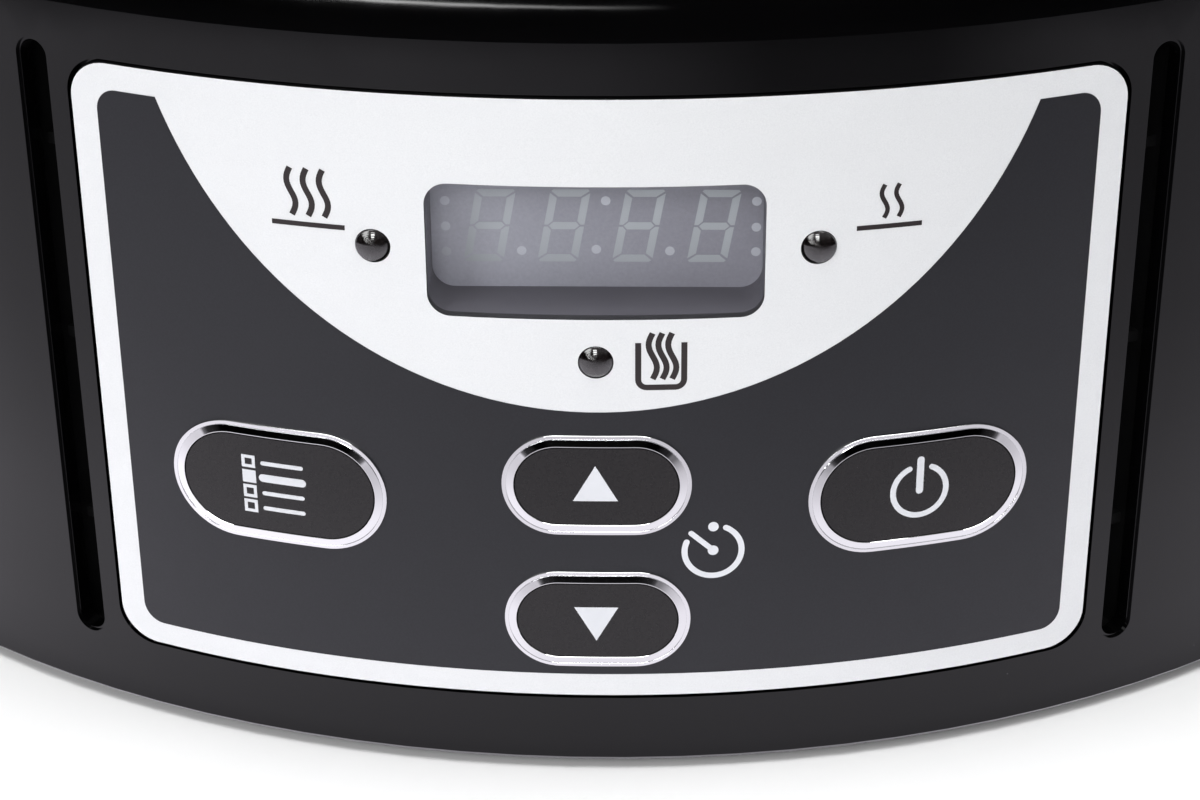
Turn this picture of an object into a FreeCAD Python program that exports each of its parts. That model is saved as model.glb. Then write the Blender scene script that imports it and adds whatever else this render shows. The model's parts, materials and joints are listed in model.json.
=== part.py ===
import FreeCAD, Part
import Sketcher

import math
import os
import re

# Round countertop slow cooker with a digital control panel.
# Millimetres, +Z up. The origin is the centre of the feet on the surface that the cooker stands on,
# and the control panel faces -Y.

DIMENSIONS = {
    # housing
    "wall_radius": 158.6,
    "shell_thickness": 2.8,
    "edge_height": 1.2,
    "shoulder_height": 105.7,
    "shoulder_radius": 22.3,
    "rim_hole_radius": 133.5,
    "base_height": 3.2,
    "base_thickness": 2.0,
    "base_vent_middle": 60.0,
    "base_vent_length": 30.0,
    "base_vent_width": 4.0,
    "boss_circle": 150.6,
    "boss_radius": 6.0,
    "boss_top": 26.0,
    "base_screw_radius": 1.75,
    "base_screw_length": 16.0,
    # panel recess, fascia plate and the carrier behind it
    "panel_middle": 55.35,
    "plate_chord": 135.5,
    "plate_height": 86.3,
    "plate_corner": 5.2,
    "plate_thickness": 1.4,
    "panel_gap": 0.5,
    "opening_chord": 124.0,
    "opening_height": 76.0,
    "carrier_chord": 132.0,
    "carrier_height": 85.0,
    "carrier_thickness": 2.4,
    "fit_gap": 0.1,
    # display
    "window_middle": 77.9,
    "window_width": 43.0,
    "window_height": 18.2,
    "window_corner": 3.0,
    "tunnel_wall": 1.5,
    "display_front": 148.2,
    "display_width": 50.0,
    "display_height": 23.0,
    # control board
    "board_front": 141.2,
    "board_thickness": 1.6,
    "board_width": 112.0,
    "board_height": 76.0,
    "post_radius": 3.2,
    "post_across": 50.0,
    "post_up": 33.0,
    "board_screw_radius": 1.2,
    "board_screw_length": 6.0,
    "carrier_screw_length": 3.6,
    "carrier_screw_turn": 23.8,
    "carrier_screw_up": 30.0,
    # buttons, their rings and switches
    "small_length": 25.1,
    "small_height": 14.8,
    "large_length": 29.8,
    "large_height": 17.5,
    "ring_width": 1.64,
    "ring_rise": 0.7,
    "cap_rise": 0.55,
    "cap_gap": 0.15,
    "cap_back": 145.7,
    "wing_length": 8.0,
    "wing_reach": 1.6,
    "wing_thickness": 1.1,
    "up_middle": 44.9,
    "down_middle": 24.4,
    "side_middle": 41.5,
    "side_across": 42.85,
    "switch_size": 6.0,
    "switch_depth": 2.2,
    "plunger_radius": 1.6,
    "plunger_gap": 0.08,
    "plunger_sink": 1.0,
    "plunger_bore": 1.8,
    # indicator lamps
    "lamp_radius": 2.2,
    "lamp_proud": 0.6,
    "lamp_tip": 0.3,
    "lamp_across": 28.26,
    "lamp_middle": 77.9,
    "warm_lamp_middle": 62.8,
    # ventilation slots beside the panel
    "slot_width": 4.25,
    "slot_length": 88.5,
    "slot_middle": 55.65,
    "slot_angle": 27.43,
    "slot_bevel": 0.4,
    "baffle_width": 9.0,
    "baffle_length": 94.0,
    "baffle_depth": 6.5,
    "baffle_wall": 1.2,
    "baffle_pitch": 28.5,
    "baffle_rib": 1.6,
    # heating well
    "well_radius": 130.0,
    "well_thickness": 1.0,
    "well_floor": 24.0,
    "well_corner": 16.0,
    "flange_radius": 139.0,
    "stud_radius": 3.0,
    "nut_flats": 10.0,
    "nut_height": 5.0,
    "dome_radius": 26.0,
    "dome_height": 7.0,
    "band_bottom": 34.0,
    "band_height": 42.0,
    "band_thickness": 1.8,
    "band_angle": 344.0,
    "tab_width": 6.0,
    "tab_height": 9.0,
    "wrap_bottom": 30.0,
    "wrap_height": 84.0,
    "wrap_thickness": 4.0,
    "seal_height": 1.0,
    # crock
    "crock_radius": 127.0,
    "crock_wall": 7.0,
    "crock_base": 27.0,
    "crock_floor": 35.0,
    "crock_corner": 20.0,
    "crock_inner_corner": 16.0,
    "lip_radius": 142.0,
    "lip_top": 142.0,
    "seat_radius": 132.5,
    "seat_height": 136.0,
    "lug_reach": 162.0,
    "lug_width": 74.0,
    "lug_bottom": 131.5,
    "lug_thickness": 9.0,
    "lug_corner": 20.0,
    "lug_round": 3.5,
    # lid
    "glass_radius": 129.6,
    "glass_edge": 138.4,
    "glass_thickness": 4.0,
    "glass_rise": 27.0,
    "rim_outer": 131.3,
    "rim_bottom": 136.2,
    "rim_height": 8.0,
    "rim_inner": 124.8,
    "rim_lap": 1.1,
    "rim_fold": 1.2,
    "knob_radius": 22.0,
    "knob_neck": 12.0,
    "knob_neck_top": 12.0,
    "knob_waist": 16.0,
    "knob_edge_height": 20.0,
    "knob_edge_round": 4.0,
    "knob_side": 26.0,
    "knob_crown": 3.5,
    "knob_bore_depth": 18.0,
    "knob_screw_radius": 2.5,
    "knob_screw_length": 19.0,
    "washer_radius": 11.0,
    "washer_thickness": 1.5,
    "vent_across": 62.0,
    "vent_radius": 3.8,
    "vent_flange": 6.5,
    # side handles
    "handle_middle": 96.0,
    "handle_height": 15.0,
    "handle_reach": 188.0,
    "handle_grip": 11.0,
    "handle_half": 50.0,
    "handle_gap_half": 34.0,
    "handle_bend": 22.0,
    "handle_gap_bend": 12.0,
    "handle_round": 4.0,
    "handle_screw_across": 42.0,
    "handle_screw_radius": 1.75,
    "handle_screw_length": 18.0,
    # feet
    "foot_radius": 12.0,
    "foot_across": 84.0,
    "spigot_radius": 4.0,
    "spigot_gap": 0.1,
    # power board
    "power_board_height": 11.0,
    "power_board_middle": 78.0,
    "power_board_width": 76.0,
    "power_board_length": 52.0,
    "relay_width": 19.0,
    "relay_depth": 15.0,
    "relay_height": 9.4,
    "capacitor_width": 8.0,
    "capacitor_depth": 18.0,
    "capacitor_height": 9.0,
    "ribbon_width": 14.0,
    "ribbon_across": 16.0,
    "ribbon_thickness": 1.0,
    "ribbon_top": 30.0,
    "lead_radius": 1.2,
    "lead_bend": 5.0,
    # cord gland
    "gland_height": 20.0,
    "gland_radius": 6.0,
    "gland_hole": 3.6,
    "gland_flange": 8.5,
    "gland_lip": 2.2,
}

UP = FreeCAD.Vector(0, 0, 1)
doc = FreeCAD.newDocument("SlowCooker")
sheet = doc.addObject("Spreadsheet::Sheet", "Dimensions")
nodes = []


def fill_sheet():
    for row, (alias, value) in enumerate(DIMENSIONS.items(), 1):
        sheet.set(f"A{row}", alias)
        sheet.set(f"B{row}", str(value))
        sheet.setAlias(f"B{row}", alias)
    doc.recompute()


def bound(text):
    """A sheet expression, such as 'wall_radius - shell_thickness', as another object must write it."""
    return re.sub(r"[a-z]\w*(?![\w(])", lambda name: f"Dimensions.{name.group()}", text)


def number(text):
    return float(sheet.evalExpression(text))


def node(shape_object, name):
    """Names a finished sub-part, which is written to a file of that name."""
    shape_object.Label = name
    nodes.append(shape_object)
    return shape_object


# Sketches


def new_body(name):
    body = doc.addObject("PartDesign::Body", name + "_body")
    body.Label = name + " body"
    return body


def new_sketch(body, role, offset="0"):
    sketch = body.newObject("Sketcher::SketchObject", body.Name + "_sketch")
    plane = next(item for item in body.Origin.OriginFeatures if item.Role == role)
    sketch.AttachmentSupport = (plane, [""])
    sketch.MapMode = "FlatFace"
    sketch.setExpression("AttachmentOffset.Base.z", bound(offset))
    return sketch


def pin(sketch, geometry, point, across, up):
    """Holds one point of a sketch at (across, up), both sheet expressions."""
    for kind, axis, text in (("DistanceX", -2, across), ("DistanceY", -1, up)):
        if text == "0":
            sketch.addConstraint(Sketcher.Constraint("PointOnObject", geometry, point, axis))
        else:
            index = sketch.addConstraint(
                Sketcher.Constraint(kind, -1, 1, geometry, point, number(text))
            )
            sketch.setExpression(f"Constraints[{index}]", bound(text))


def bind_radius(sketch, geometry, text):
    index = sketch.addConstraint(Sketcher.Constraint("Radius", geometry, number(text)))
    sketch.setExpression(f"Constraints[{index}]", bound(text))


def flat(across, up):
    return FreeCAD.Vector(across, up, 0)


def circle(across, up, radius):
    def draw(sketch):
        centre = flat(number(across), number(up))
        index = sketch.addGeometry(Part.Circle(centre, FreeCAD.Vector(0, 0, 1), number(radius)), False)
        pin(sketch, index, 3, across, up)
        bind_radius(sketch, index, radius)

    return draw


def arc_between(start, end, radius, turn):
    """The short arc from start to end: its centre lies to the left for 'left', to the right for 'right'."""
    chord = end - start
    middle = (start + end) * 0.5
    side = FreeCAD.Vector(-chord.y, chord.x, 0).normalize()
    height = math.sqrt(max(radius**2 - (chord.Length / 2) ** 2, 0.0))
    centre = middle + side * (height if turn == "left" else -height)
    first, last = (start, end) if turn == "left" else (end, start)
    angles = [math.atan2(point.y - centre.y, point.x - centre.x) for point in (first, last)]
    return Part.ArcOfCircle(Part.Circle(centre, FreeCAD.Vector(0, 0, 1), radius), *angles)


def outline(*corners, closed=True):
    """Straight sides from corner to corner. A corner is (across, up), or (across, up, radius, turn)
    where an arc follows it."""

    def draw(sketch):
        places = [flat(number(corner[0]), number(corner[1])) for corner in corners]
        sides = []
        count = len(corners) if closed else len(corners) - 1
        for index, corner in enumerate(corners[:count]):
            start, end = places[index], places[(index + 1) % len(corners)]
            if len(corner) == 2:
                sides.append((sketch.addGeometry(Part.LineSegment(start, end), False), 1, 2))
            else:
                arc = arc_between(start, end, number(corner[2]), corner[3])
                ends = (1, 2) if corner[3] == "left" else (2, 1)
                sides.append((sketch.addGeometry(arc, False), *ends))
        for index, (side, first, last) in enumerate(sides):
            corner = corners[index]
            if closed or index + 1 < count:
                following = sides[(index + 1) % count]
                sketch.addConstraint(
                    Sketcher.Constraint("Coincident", side, last, following[0], following[1])
                )
            pin(sketch, side, first, corner[0], corner[1])
            if len(corner) == 4:
                bind_radius(sketch, side, corner[2])
        if not closed:
            pin(sketch, sides[-1][0], sides[-1][2], *corners[-1][:2])

    return draw


def box_outline(across, up, width, height):
    left, right = f"{across} - ({width}) / 2", f"{across} + ({width}) / 2"
    low, high = f"{up} - ({height}) / 2", f"{up} + ({height}) / 2"
    return outline((left, low), (right, low), (right, high), (left, high))


def rounded_outline(across, up, width, height, corner):
    left, right = f"{across} - ({width}) / 2", f"{across} + ({width}) / 2"
    low, high = f"{up} - ({height}) / 2", f"{up} + ({height}) / 2"
    arc = (corner, "left")
    return outline(
        (f"{left} + {corner}", low),
        (f"{right} - {corner}", low, *arc),
        (right, f"{low} + {corner}"),
        (right, f"{high} - {corner}", *arc),
        (f"{right} - {corner}", high),
        (f"{left} + {corner}", high, *arc),
        (left, f"{high} - {corner}"),
        (left, f"{low} + {corner}", *arc),
    )


def stadium(across, up, length, width, upright=False):
    """A slot outline: two half circles joined by straight runs, lying down or upright."""
    half, radius = f"(({length}) - ({width})) / 2", f"({width}) / 2"
    if upright:
        centres = ((across, f"{up} - {half}"), (across, f"{up} + {half}"))
    else:
        centres = ((f"{across} - {half}", up), (f"{across} + {half}", up))

    def draw(sketch):
        places = [flat(number(one), number(other)) for one, other in centres]
        size = number(radius)
        along = (places[1] - places[0]).normalize()
        side = FreeCAD.Vector(-along.y, along.x, 0) * size
        start = math.atan2(side.y, side.x)
        first = Part.ArcOfCircle(Part.Circle(places[0], UP, size), start, start + math.pi)
        second = Part.ArcOfCircle(Part.Circle(places[1], UP, size), start + math.pi, start + 2 * math.pi)
        ends = [sketch.addGeometry(arc, False) for arc in (first, second)]
        low = sketch.addGeometry(Part.LineSegment(places[0] - side, places[1] - side), False)
        high = sketch.addGeometry(Part.LineSegment(places[1] + side, places[0] + side), False)
        sides = (ends[0], low, ends[1], high)
        for side_before, side_after in zip(sides, sides[1:] + sides[:1]):
            sketch.addConstraint(Sketcher.Constraint("Tangent", side_before, 2, side_after, 1))
        sketch.addConstraint(Sketcher.Constraint("Equal", *ends))
        bind_radius(sketch, ends[0], radius)
        for end, centre in zip(ends, centres):
            pin(sketch, end, 3, *centre)

    return draw


# Solids


def prism(name, role, outlines, start, length):
    """Pads outlines from start over length: along +Z from XY_Plane, along -Y from XZ_Plane."""
    body = new_body(name)
    sketch = new_sketch(body, role, start)
    for draw in outlines:
        draw(sketch)
    pad = body.newObject("PartDesign::Pad", name + "_pad")
    pad.Profile = sketch
    pad.setExpression("Length", bound(length))
    sketch.Visibility = False
    doc.recompute()
    return body


def revolved(name, profile, angle="360"):
    """Turns a profile, drawn as (radius, height), about the Z axis."""
    body = new_body(name)
    sketch = new_sketch(body, "XZ_Plane")
    profile(sketch)
    turn = body.newObject("PartDesign::Revolution", name + "_turn")
    turn.Profile = sketch
    turn.ReferenceAxis = (sketch, ["V_Axis"])
    turn.setExpression("Angle", bound(angle))
    doc.recompute()
    return body


def rounded(body, radius, chosen):
    """Fillets the edges of a body's last feature that chosen(edge) picks."""
    last = body.Tip
    edges = [f"Edge{index}" for index, edge in enumerate(last.Shape.Edges, 1) if chosen(edge)]
    fillet = body.newObject("PartDesign::Fillet", body.Name + "_fillet")
    fillet.Base = (last, edges)
    fillet.setExpression("Radius", bound(radius))
    doc.recompute()
    return body


def cylinder(name, radius, height, base="0"):
    solid = doc.addObject("Part::Cylinder", name)
    solid.setExpression("Radius", bound(radius))
    solid.setExpression("Height", bound(height))
    if base != "0":
        solid.setExpression("Placement.Base.z", bound(base))
    return solid


def combine(kind, name, first, second):
    result = doc.addObject(kind, name)
    result.Base, result.Tool = first, second
    doc.recompute()
    return result


def cut(name, first, second):
    return combine("Part::Cut", name, first, second)


def common(name, first, second):
    return combine("Part::Common", name, first, second)


def fused(name, pieces):
    result = doc.addObject("Part::MultiFuse", name)
    result.Shapes = pieces
    doc.recompute()
    return result


def grouped(name, pieces):
    """Identical pieces that stay separate solids in one node."""
    result = doc.addObject("Part::Compound", name)
    result.Links = pieces
    doc.recompute()
    return result


def wall_shell(name, inner, outer):
    """The upright tube between two radii, taller than anything that it is cut with."""
    return cut(name, cylinder(name + "_outer", outer, THROUGH), cylinder(name + "_inner", inner, THROUGH))


def placed(item, turn=0.0, shift=(0, 0, 0), axis=UP):
    item.Placement = FreeCAD.Placement(FreeCAD.Vector(*shift), FreeCAD.Rotation(axis, turn))
    return item


def pointing(item, turn, place):
    """Turns an item's +Z to face -Y, then turns it about Z, and sets its origin at a place."""
    spin = FreeCAD.Rotation(UP, turn) * FreeCAD.Rotation(FreeCAD.Vector(1, 0, 0), 90)
    item.Placement = FreeCAD.Placement(FreeCAD.Vector(*place), spin)
    return item


def around(radius, turn, height):
    """The place at a radius, turned about Z from the front, at a height."""
    angle = math.radians(turn)
    return (radius * math.sin(angle), -radius * math.cos(angle), height)


def at_front(name, outlines, back, length):
    """A prism along -Y whose back face stands at Y = -back."""
    return prism(name, "XZ_Plane", outlines, back, length)


def level(edge, *heights):
    """Whether an edge lies flat at one of the heights."""
    low, high = edge.BoundBox.ZMin, edge.BoundBox.ZMax
    return any(abs(low - height) < 0.01 and abs(high - height) < 0.01 for height in heights)


def screw(name, shank, length):
    """A pan-head screw whose head lies under Z = 0 and whose shank runs along +Z."""
    profile = outline(
        ("0", f"0 - {shank} * 1.3"),
        (f"{shank} * 1.4", f"0 - {shank} * 1.3"),
        (f"{shank} * 1.9", f"0 - {shank} * 0.7"),
        (f"{shank} * 1.9", "0"),
        (shank, "0"),
        (shank, f"{length} - {shank} * 0.6"),
        (f"{shank} * 0.4", length),
        ("0", length),
    )
    return revolved(name, profile)


RIM_TOP = "shoulder_height + shoulder_radius"
FLANGE_TOP = f"{RIM_TOP} + seal_height + well_thickness"
BASE_TOP = "base_height + base_thickness"
RECESS_FLOOR = "wall_radius - plate_thickness - fit_gap"
WALL_INSIDE = "wall_radius - shell_thickness"
CARRIER_FRONT = f"{WALL_INSIDE} - fit_gap"
CARRIER_BACK = f"{CARRIER_FRONT} - carrier_thickness"
GLASS_ARC = "(glass_radius * glass_radius + glass_rise * glass_rise) / (2 * glass_rise)"
GLASS_TOP = "glass_edge + glass_thickness + glass_rise"
QUARTERS = (45, 135, 225, 315)
SIDES = (("left", -1), ("right", 1))
VENT_COUNT = 12
TAB_TURNS = (169, 191)
# taller than the whole cooker, for tools that cut right through it
THROUGH = "200"
REACH = "100"

# name, place across, place up, length and height of each button
BUTTONS = {
    "menu": ("0 - side_across", "side_middle", "large_length", "large_height"),
    "power": ("side_across", "side_middle", "large_length", "large_height"),
    "up": ("0", "up_middle", "small_length", "small_height"),
    "down": ("0", "down_middle", "small_length", "small_height"),
}
LAMPS = {
    "high": ("0 - lamp_across", "lamp_middle"),
    "low": ("lamp_across", "lamp_middle"),
    "warm": ("0", "warm_lamp_middle"),
}


# Housing


def opening_outline(gap):
    return rounded_outline(
        "0", "panel_middle", f"(opening_chord - 2 * {gap})", f"(opening_height - 2 * {gap})", "plate_corner"
    )


def window_outline(margin):
    width, height = f"(window_width + 2 * ({margin}))", f"(window_height + 2 * ({margin}))"
    return rounded_outline("0", "window_middle", width, height, "window_corner")


def vent_slot_cut(side, turn):
    slot = stadium("0", "slot_middle", "slot_length", "slot_width", upright=True)
    wide = stadium(
        "0", "slot_middle", "(slot_length + 2 * slot_bevel)", "(slot_width + 2 * slot_bevel)", upright=True
    )
    through = at_front(f"slot_{side}", [slot], "145", "20")
    step = at_front(f"slot_step_{side}", [wide], "145", "20")
    core = cylinder(f"slot_core_{side}", "wall_radius - slot_bevel", THROUGH)
    lip = cut(f"slot_lip_{side}", step, core)
    return placed(fused(f"slot_cut_{side}", [through, lip]), turn)


def carrier_screw_places():
    rise = number("carrier_screw_up")
    for side in (-1, 1):
        for end in (-1, 1):
            yield side * number("carrier_screw_turn"), number("panel_middle") + end * rise


def carrier_screw_cuts(name):
    cuts = []
    for index, (turn, height) in enumerate(carrier_screw_places()):
        hole = cylinder(f"{name}_{index}", "board_screw_radius", "8")
        cuts.append(pointing(hole, turn, around(150.0, turn, height)))
    return cuts


def housing_openings():
    recess_size = [f"({side} + 2 * panel_gap)" for side in ("plate_chord", "plate_height")]
    recess = rounded_outline("0", "panel_middle", *recess_size, "plate_corner")
    recess_block = at_front("recess_block", [recess], REACH, REACH)
    recess_core = cylinder("recess_core", RECESS_FLOOR, THROUGH)
    tools = [cut("recess_cut", recess_block, recess_core)]
    tools.append(at_front("opening_cut", [opening_outline("0")], REACH, REACH))
    for side, sign in SIDES:
        tools.append(vent_slot_cut(side, sign * number("slot_angle")))
        for end in (-1, 1):
            hole = cylinder(f"handle_hole_{side}_{end + 1}", "handle_screw_radius", "30")
            place = (sign * 140.0, end * number("handle_screw_across"), number("handle_middle"))
            tools.append(pointing(hole, sign * 90, place))
    gland = cylinder("gland_cut", "gland_radius + fit_gap", "40")
    tools.append(pointing(gland, 180, (0, 140.0, number("gland_height"))))
    return tools + carrier_screw_cuts("carrier_hole")


def housing_shell():
    profile = outline(
        ("wall_radius - 0.8", "edge_height"),
        ("wall_radius", "edge_height + 0.8"),
        ("wall_radius", "shoulder_height", "shoulder_radius", "left"),
        ("wall_radius - shoulder_radius", RIM_TOP),
        ("rim_hole_radius", RIM_TOP),
        ("rim_hole_radius", f"{RIM_TOP} - shell_thickness"),
        (
            "wall_radius - shoulder_radius",
            f"{RIM_TOP} - shell_thickness",
            "shoulder_radius - shell_thickness",
            "right",
        ),
        (WALL_INSIDE, "shoulder_height"),
        (WALL_INSIDE, "edge_height"),
    )
    shell = revolved("housing", profile)
    bosses = []
    for turn in QUARTERS:
        sides = [circle("boss_circle", "0", radius) for radius in ("boss_radius", "base_screw_radius")]
        boss = prism(f"boss_{turn}", "XY_Plane", sides, BASE_TOP, f"boss_top - ({BASE_TOP})")
        bosses.append(placed(boss, turn))
    # the bosses run into the wall, so their far sides are trimmed inside it
    limit = cylinder("boss_limit", f"{WALL_INSIDE} + 1", REACH)
    trimmed = common("trimmed_bosses", fused("bosses", bosses), limit)
    body = fused("housing_with_bosses", [shell, trimmed])
    openings = fused("housing_openings", housing_openings())
    node(cut("housing_cut", body, openings), "housing_shell")


def base_plate():
    top = BASE_TOP
    profile = outline(
        ("stud_radius + 0.2", "base_height + dome_height"),
        ("dome_radius", "base_height + dome_height"),
        ("dome_radius + dome_height", "base_height"),
        (f"{WALL_INSIDE} - 0.4", "base_height"),
        (f"{WALL_INSIDE} - 0.4", top),
        ("dome_radius + dome_height + 1", top),
        ("dome_radius + 1", f"{top} + dome_height"),
        ("stud_radius + 0.2", f"{top} + dome_height"),
    )
    plate = revolved("base", profile)
    posts, holes = [], []
    for index, (across, along) in enumerate(power_board_screw_places()):
        for name, radius, group in (
            ("post", "post_radius", posts),
            ("post_hole", "board_screw_radius", holes),
        ):
            solid = cylinder(f"{name}_{index}", radius, f"power_board_height - ({top}) + 2")
            group.append(placed(solid, 0, (across, along, number(f"{top} - 2"))))
    for turn in QUARTERS:
        hole = cylinder(f"base_screw_hole_{turn}", "base_screw_radius + 0.1", "20")
        holes.append(placed(hole, 0, around(number("boss_circle"), turn + 90, 0)))
        across, along, _ = foot_place(turn)
        spigot = cylinder(f"spigot_hole_{turn}", "spigot_radius + spigot_gap", "20")
        holes.append(placed(spigot, 0, (across, along, 0)))
    for index in range(VENT_COUNT):
        turn = 360.0 * index / VENT_COUNT
        slot = stadium("base_vent_middle", "0", "base_vent_length", "base_vent_width")
        vent = prism(f"base_vent_{index}", "XY_Plane", [slot], "0", "20")
        holes.append(placed(vent, turn))
    solid = fused("base_with_posts", [plate] + posts)
    node(cut("base_cut", solid, fused("base_holes", holes)), "base_plate")


def foot_place(turn):
    angle = math.radians(turn)
    reach = number("foot_across") * math.sqrt(2)
    return (reach * math.cos(angle), reach * math.sin(angle), 0.0)


def feet():
    for turn, name in zip(QUARTERS, ("back_right", "back_left", "front_left", "front_right")):
        profile = outline(
            ("0", "0"),
            ("foot_radius - 1", "0"),
            ("foot_radius", "1"),
            ("foot_radius", "base_height"),
            ("spigot_radius", "base_height"),
            ("spigot_radius", f"{BASE_TOP} + 0.8"),
            ("spigot_radius - 1", f"{BASE_TOP} + 2"),
            ("0", f"{BASE_TOP} + 2"),
        )
        node(placed(revolved(f"foot_{turn}", profile), 0, foot_place(turn)), f"foot_{name}")


def base_screws():
    screws = []
    for turn in QUARTERS:
        place = around(number("boss_circle"), turn + 90, number("base_height"))
        fixing = screw(f"base_screw_{turn}", "base_screw_radius", "base_screw_length")
        screws.append(placed(fixing, 0, place))
    node(grouped("base_screw_group", screws), "base_screws")


def side_handles():
    low, high = "0 - handle_half", "handle_half"
    gap_low, gap_high = "0 - handle_gap_half", "handle_gap_half"
    grip = "handle_reach - handle_grip"
    profile = outline(
        ("150", low),
        ("handle_reach - handle_bend", low, "handle_bend", "left"),
        ("handle_reach", f"{low} + handle_bend"),
        ("handle_reach", f"{high} - handle_bend", "handle_bend", "left"),
        ("handle_reach - handle_bend", high),
        ("150", high),
        ("150", gap_high),
        (f"{grip} - handle_gap_bend", gap_high, "handle_gap_bend", "right"),
        (grip, f"{gap_high} - handle_gap_bend"),
        (grip, f"{gap_low} + handle_gap_bend", "handle_gap_bend", "right"),
        (f"{grip} - handle_gap_bend", gap_low),
        ("150", gap_low),
    )
    bottom = "handle_middle - handle_height / 2"
    ends = (number(bottom), number(bottom) + number("handle_height"))
    screws = []
    for side, sign in SIDES:
        body = prism(f"handle_{side}", "XY_Plane", [profile], bottom, "handle_height")
        rounded(body, "handle_round", lambda edge: level(edge, *ends) and edge.BoundBox.XMax > 150.1)
        placed(body, 0 if sign > 0 else 180)
        wall = cylinder(f"handle_wall_{side}", "wall_radius + 0.05", THROUGH)
        tools = [wall]
        for end in (-1, 1):
            across = end * number("handle_screw_across")
            hole = cylinder(f"handle_pilot_{side}_{end + 1}", "handle_screw_radius", "30")
            tools.append(pointing(hole, sign * 90, (sign * 140.0, across, number("handle_middle"))))
            fixing = screw(f"handle_screw_{side}_{end + 1}", "handle_screw_radius", "handle_screw_length")
            screws.append(pointing(fixing, sign * 90, (sign * 149.0, across, number("handle_middle"))))
        node(cut(f"handle_cut_{side}", body, fused(f"handle_tools_{side}", tools)), f"handle_{side}")
    node(grouped("handle_screw_group", screws), "handle_screws")


def cord_gland():
    back = "gland_lip"
    front = "gland_lip + shell_thickness + 0.45"
    profile = outline(
        ("gland_hole", "0"),
        ("gland_flange - 0.5", "0"),
        ("gland_flange - 0.5", back),
        ("gland_radius", back),
        ("gland_radius", front),
        ("gland_flange", front),
        ("gland_flange", f"{front} + 1.4"),
        ("gland_flange - 1.4", f"{front} + 2.8"),
        ("gland_hole", f"{front} + 2.8"),
    )
    start = number(f"{WALL_INSIDE} - gland_lip - 0.3")
    node(pointing(revolved("gland", profile), 180, (0, start, number("gland_height"))), "cord_gland")


def vent_baffles():
    for side, sign in SIDES:
        back = f"{WALL_INSIDE} - baffle_depth"
        block = [box_outline("0", "slot_middle", "baffle_width", "baffle_length")]
        inside = [f"({side_length} - 2 * baffle_wall)" for side_length in ("baffle_width", "baffle_length")]
        hollow = [box_outline("0", "slot_middle", *inside)]
        pieces = [
            cut(
                f"baffle_box_{side}",
                at_front(f"baffle_block_{side}", block, back, "20"),
                at_front(f"baffle_hollow_{side}", hollow, f"{back} + baffle_wall", "20"),
            )
        ]
        for rib in (-1, 0, 1):
            shape = box_outline("0", f"slot_middle + {rib} * baffle_pitch", "baffle_width", "baffle_rib")
            pieces.append(at_front(f"baffle_rib_{side}_{rib + 1}", [shape], back, "4"))
        limit = cylinder(f"baffle_limit_{side}", f"{WALL_INSIDE} - fit_gap", THROUGH)
        solid = common(f"baffle_{side}", fused(f"baffle_pieces_{side}", pieces), limit)
        node(placed(solid, sign * number("slot_angle")), f"vent_baffle_{side}")


# Control panel


def fascia_plate():
    outlines = [rounded_outline("0", "panel_middle", "plate_chord", "plate_height", "plate_corner")]
    block = at_front("fascia_block", outlines, REACH, REACH)
    sheet_shell = wall_shell("fascia_shell", "wall_radius - plate_thickness", "wall_radius")
    holes = [at_front("window_hole", [window_outline("0")], REACH, REACH)]
    for name, (across, up, length, height) in BUTTONS.items():
        shape = stadium(across, up, f"({length} + 0.1)", f"({height} + 0.1)")
        holes.append(at_front(f"ring_hole_{name}", [shape], REACH, REACH))
    for name, (across, up) in LAMPS.items():
        shape = circle(across, up, "lamp_radius + 0.1")
        holes.append(at_front(f"lamp_hole_{name}", [shape], REACH, REACH))
    plate = common("fascia_blank", block, sheet_shell)
    node(cut("fascia_cut", plate, fused("fascia_holes", holes)), "fascia_plate")


def panel_carrier():
    border = rounded_outline("0", "panel_middle", "carrier_chord", "carrier_height", "plate_corner")
    flange = common(
        "carrier_flange",
        at_front("carrier_flange_block", [border], REACH, REACH),
        wall_shell("carrier_flange_shell", CARRIER_BACK, CARRIER_FRONT),
    )
    pad = common(
        "carrier_pad",
        at_front("carrier_pad_block", [opening_outline("0.3")], REACH, REACH),
        wall_shell("carrier_pad_shell", CARRIER_BACK, RECESS_FLOOR),
    )
    extras = [at_front("tunnel_block", [window_outline("tunnel_wall")], "display_front", "20")]
    holes = [at_front("tunnel_hole", [window_outline("0")], REACH, REACH)]
    for index, (across, up) in enumerate(post_places()):
        post = circle(across, up, "post_radius")
        extras.append(at_front(f"post_block_{index}", [post], "board_front", "12"))
        hole = circle(across, up, "board_screw_radius")
        holes.append(at_front(f"post_bore_{index}", [hole], "board_front - 1", "7"))
    limit = cylinder("carrier_limit", f"{CARRIER_FRONT} - 0.5", THROUGH)
    backs = common("carrier_backs", fused("carrier_extras", extras), limit)
    for name, (across, up, length, height) in BUTTONS.items():
        shape = stadium(across, up, f"({length} - 2 * ring_width)", f"({height} - 2 * ring_width)")
        holes.append(at_front(f"guide_hole_{name}", [shape], REACH, REACH))
    for name, (across, up) in LAMPS.items():
        hole = circle(across, up, "lamp_radius + 0.1")
        holes.append(at_front(f"lamp_bore_{name}", [hole], "142.5", "30"))
    holes += carrier_screw_cuts("carrier_bore")
    solid = fused("carrier_solid", [flange, pad, backs])
    node(cut("carrier_cut", solid, fused("carrier_holes", holes)), "panel_carrier")


def carrier_screws():
    screws = []
    for index, (turn, height) in enumerate(carrier_screw_places()):
        fixing = screw(f"carrier_screw_{index}", "board_screw_radius", "carrier_screw_length")
        screws.append(pointing(fixing, turn, around(number(CARRIER_BACK) - 0.1, turn, height)))
    node(grouped("carrier_screw_group", screws), "carrier_screws")


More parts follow.
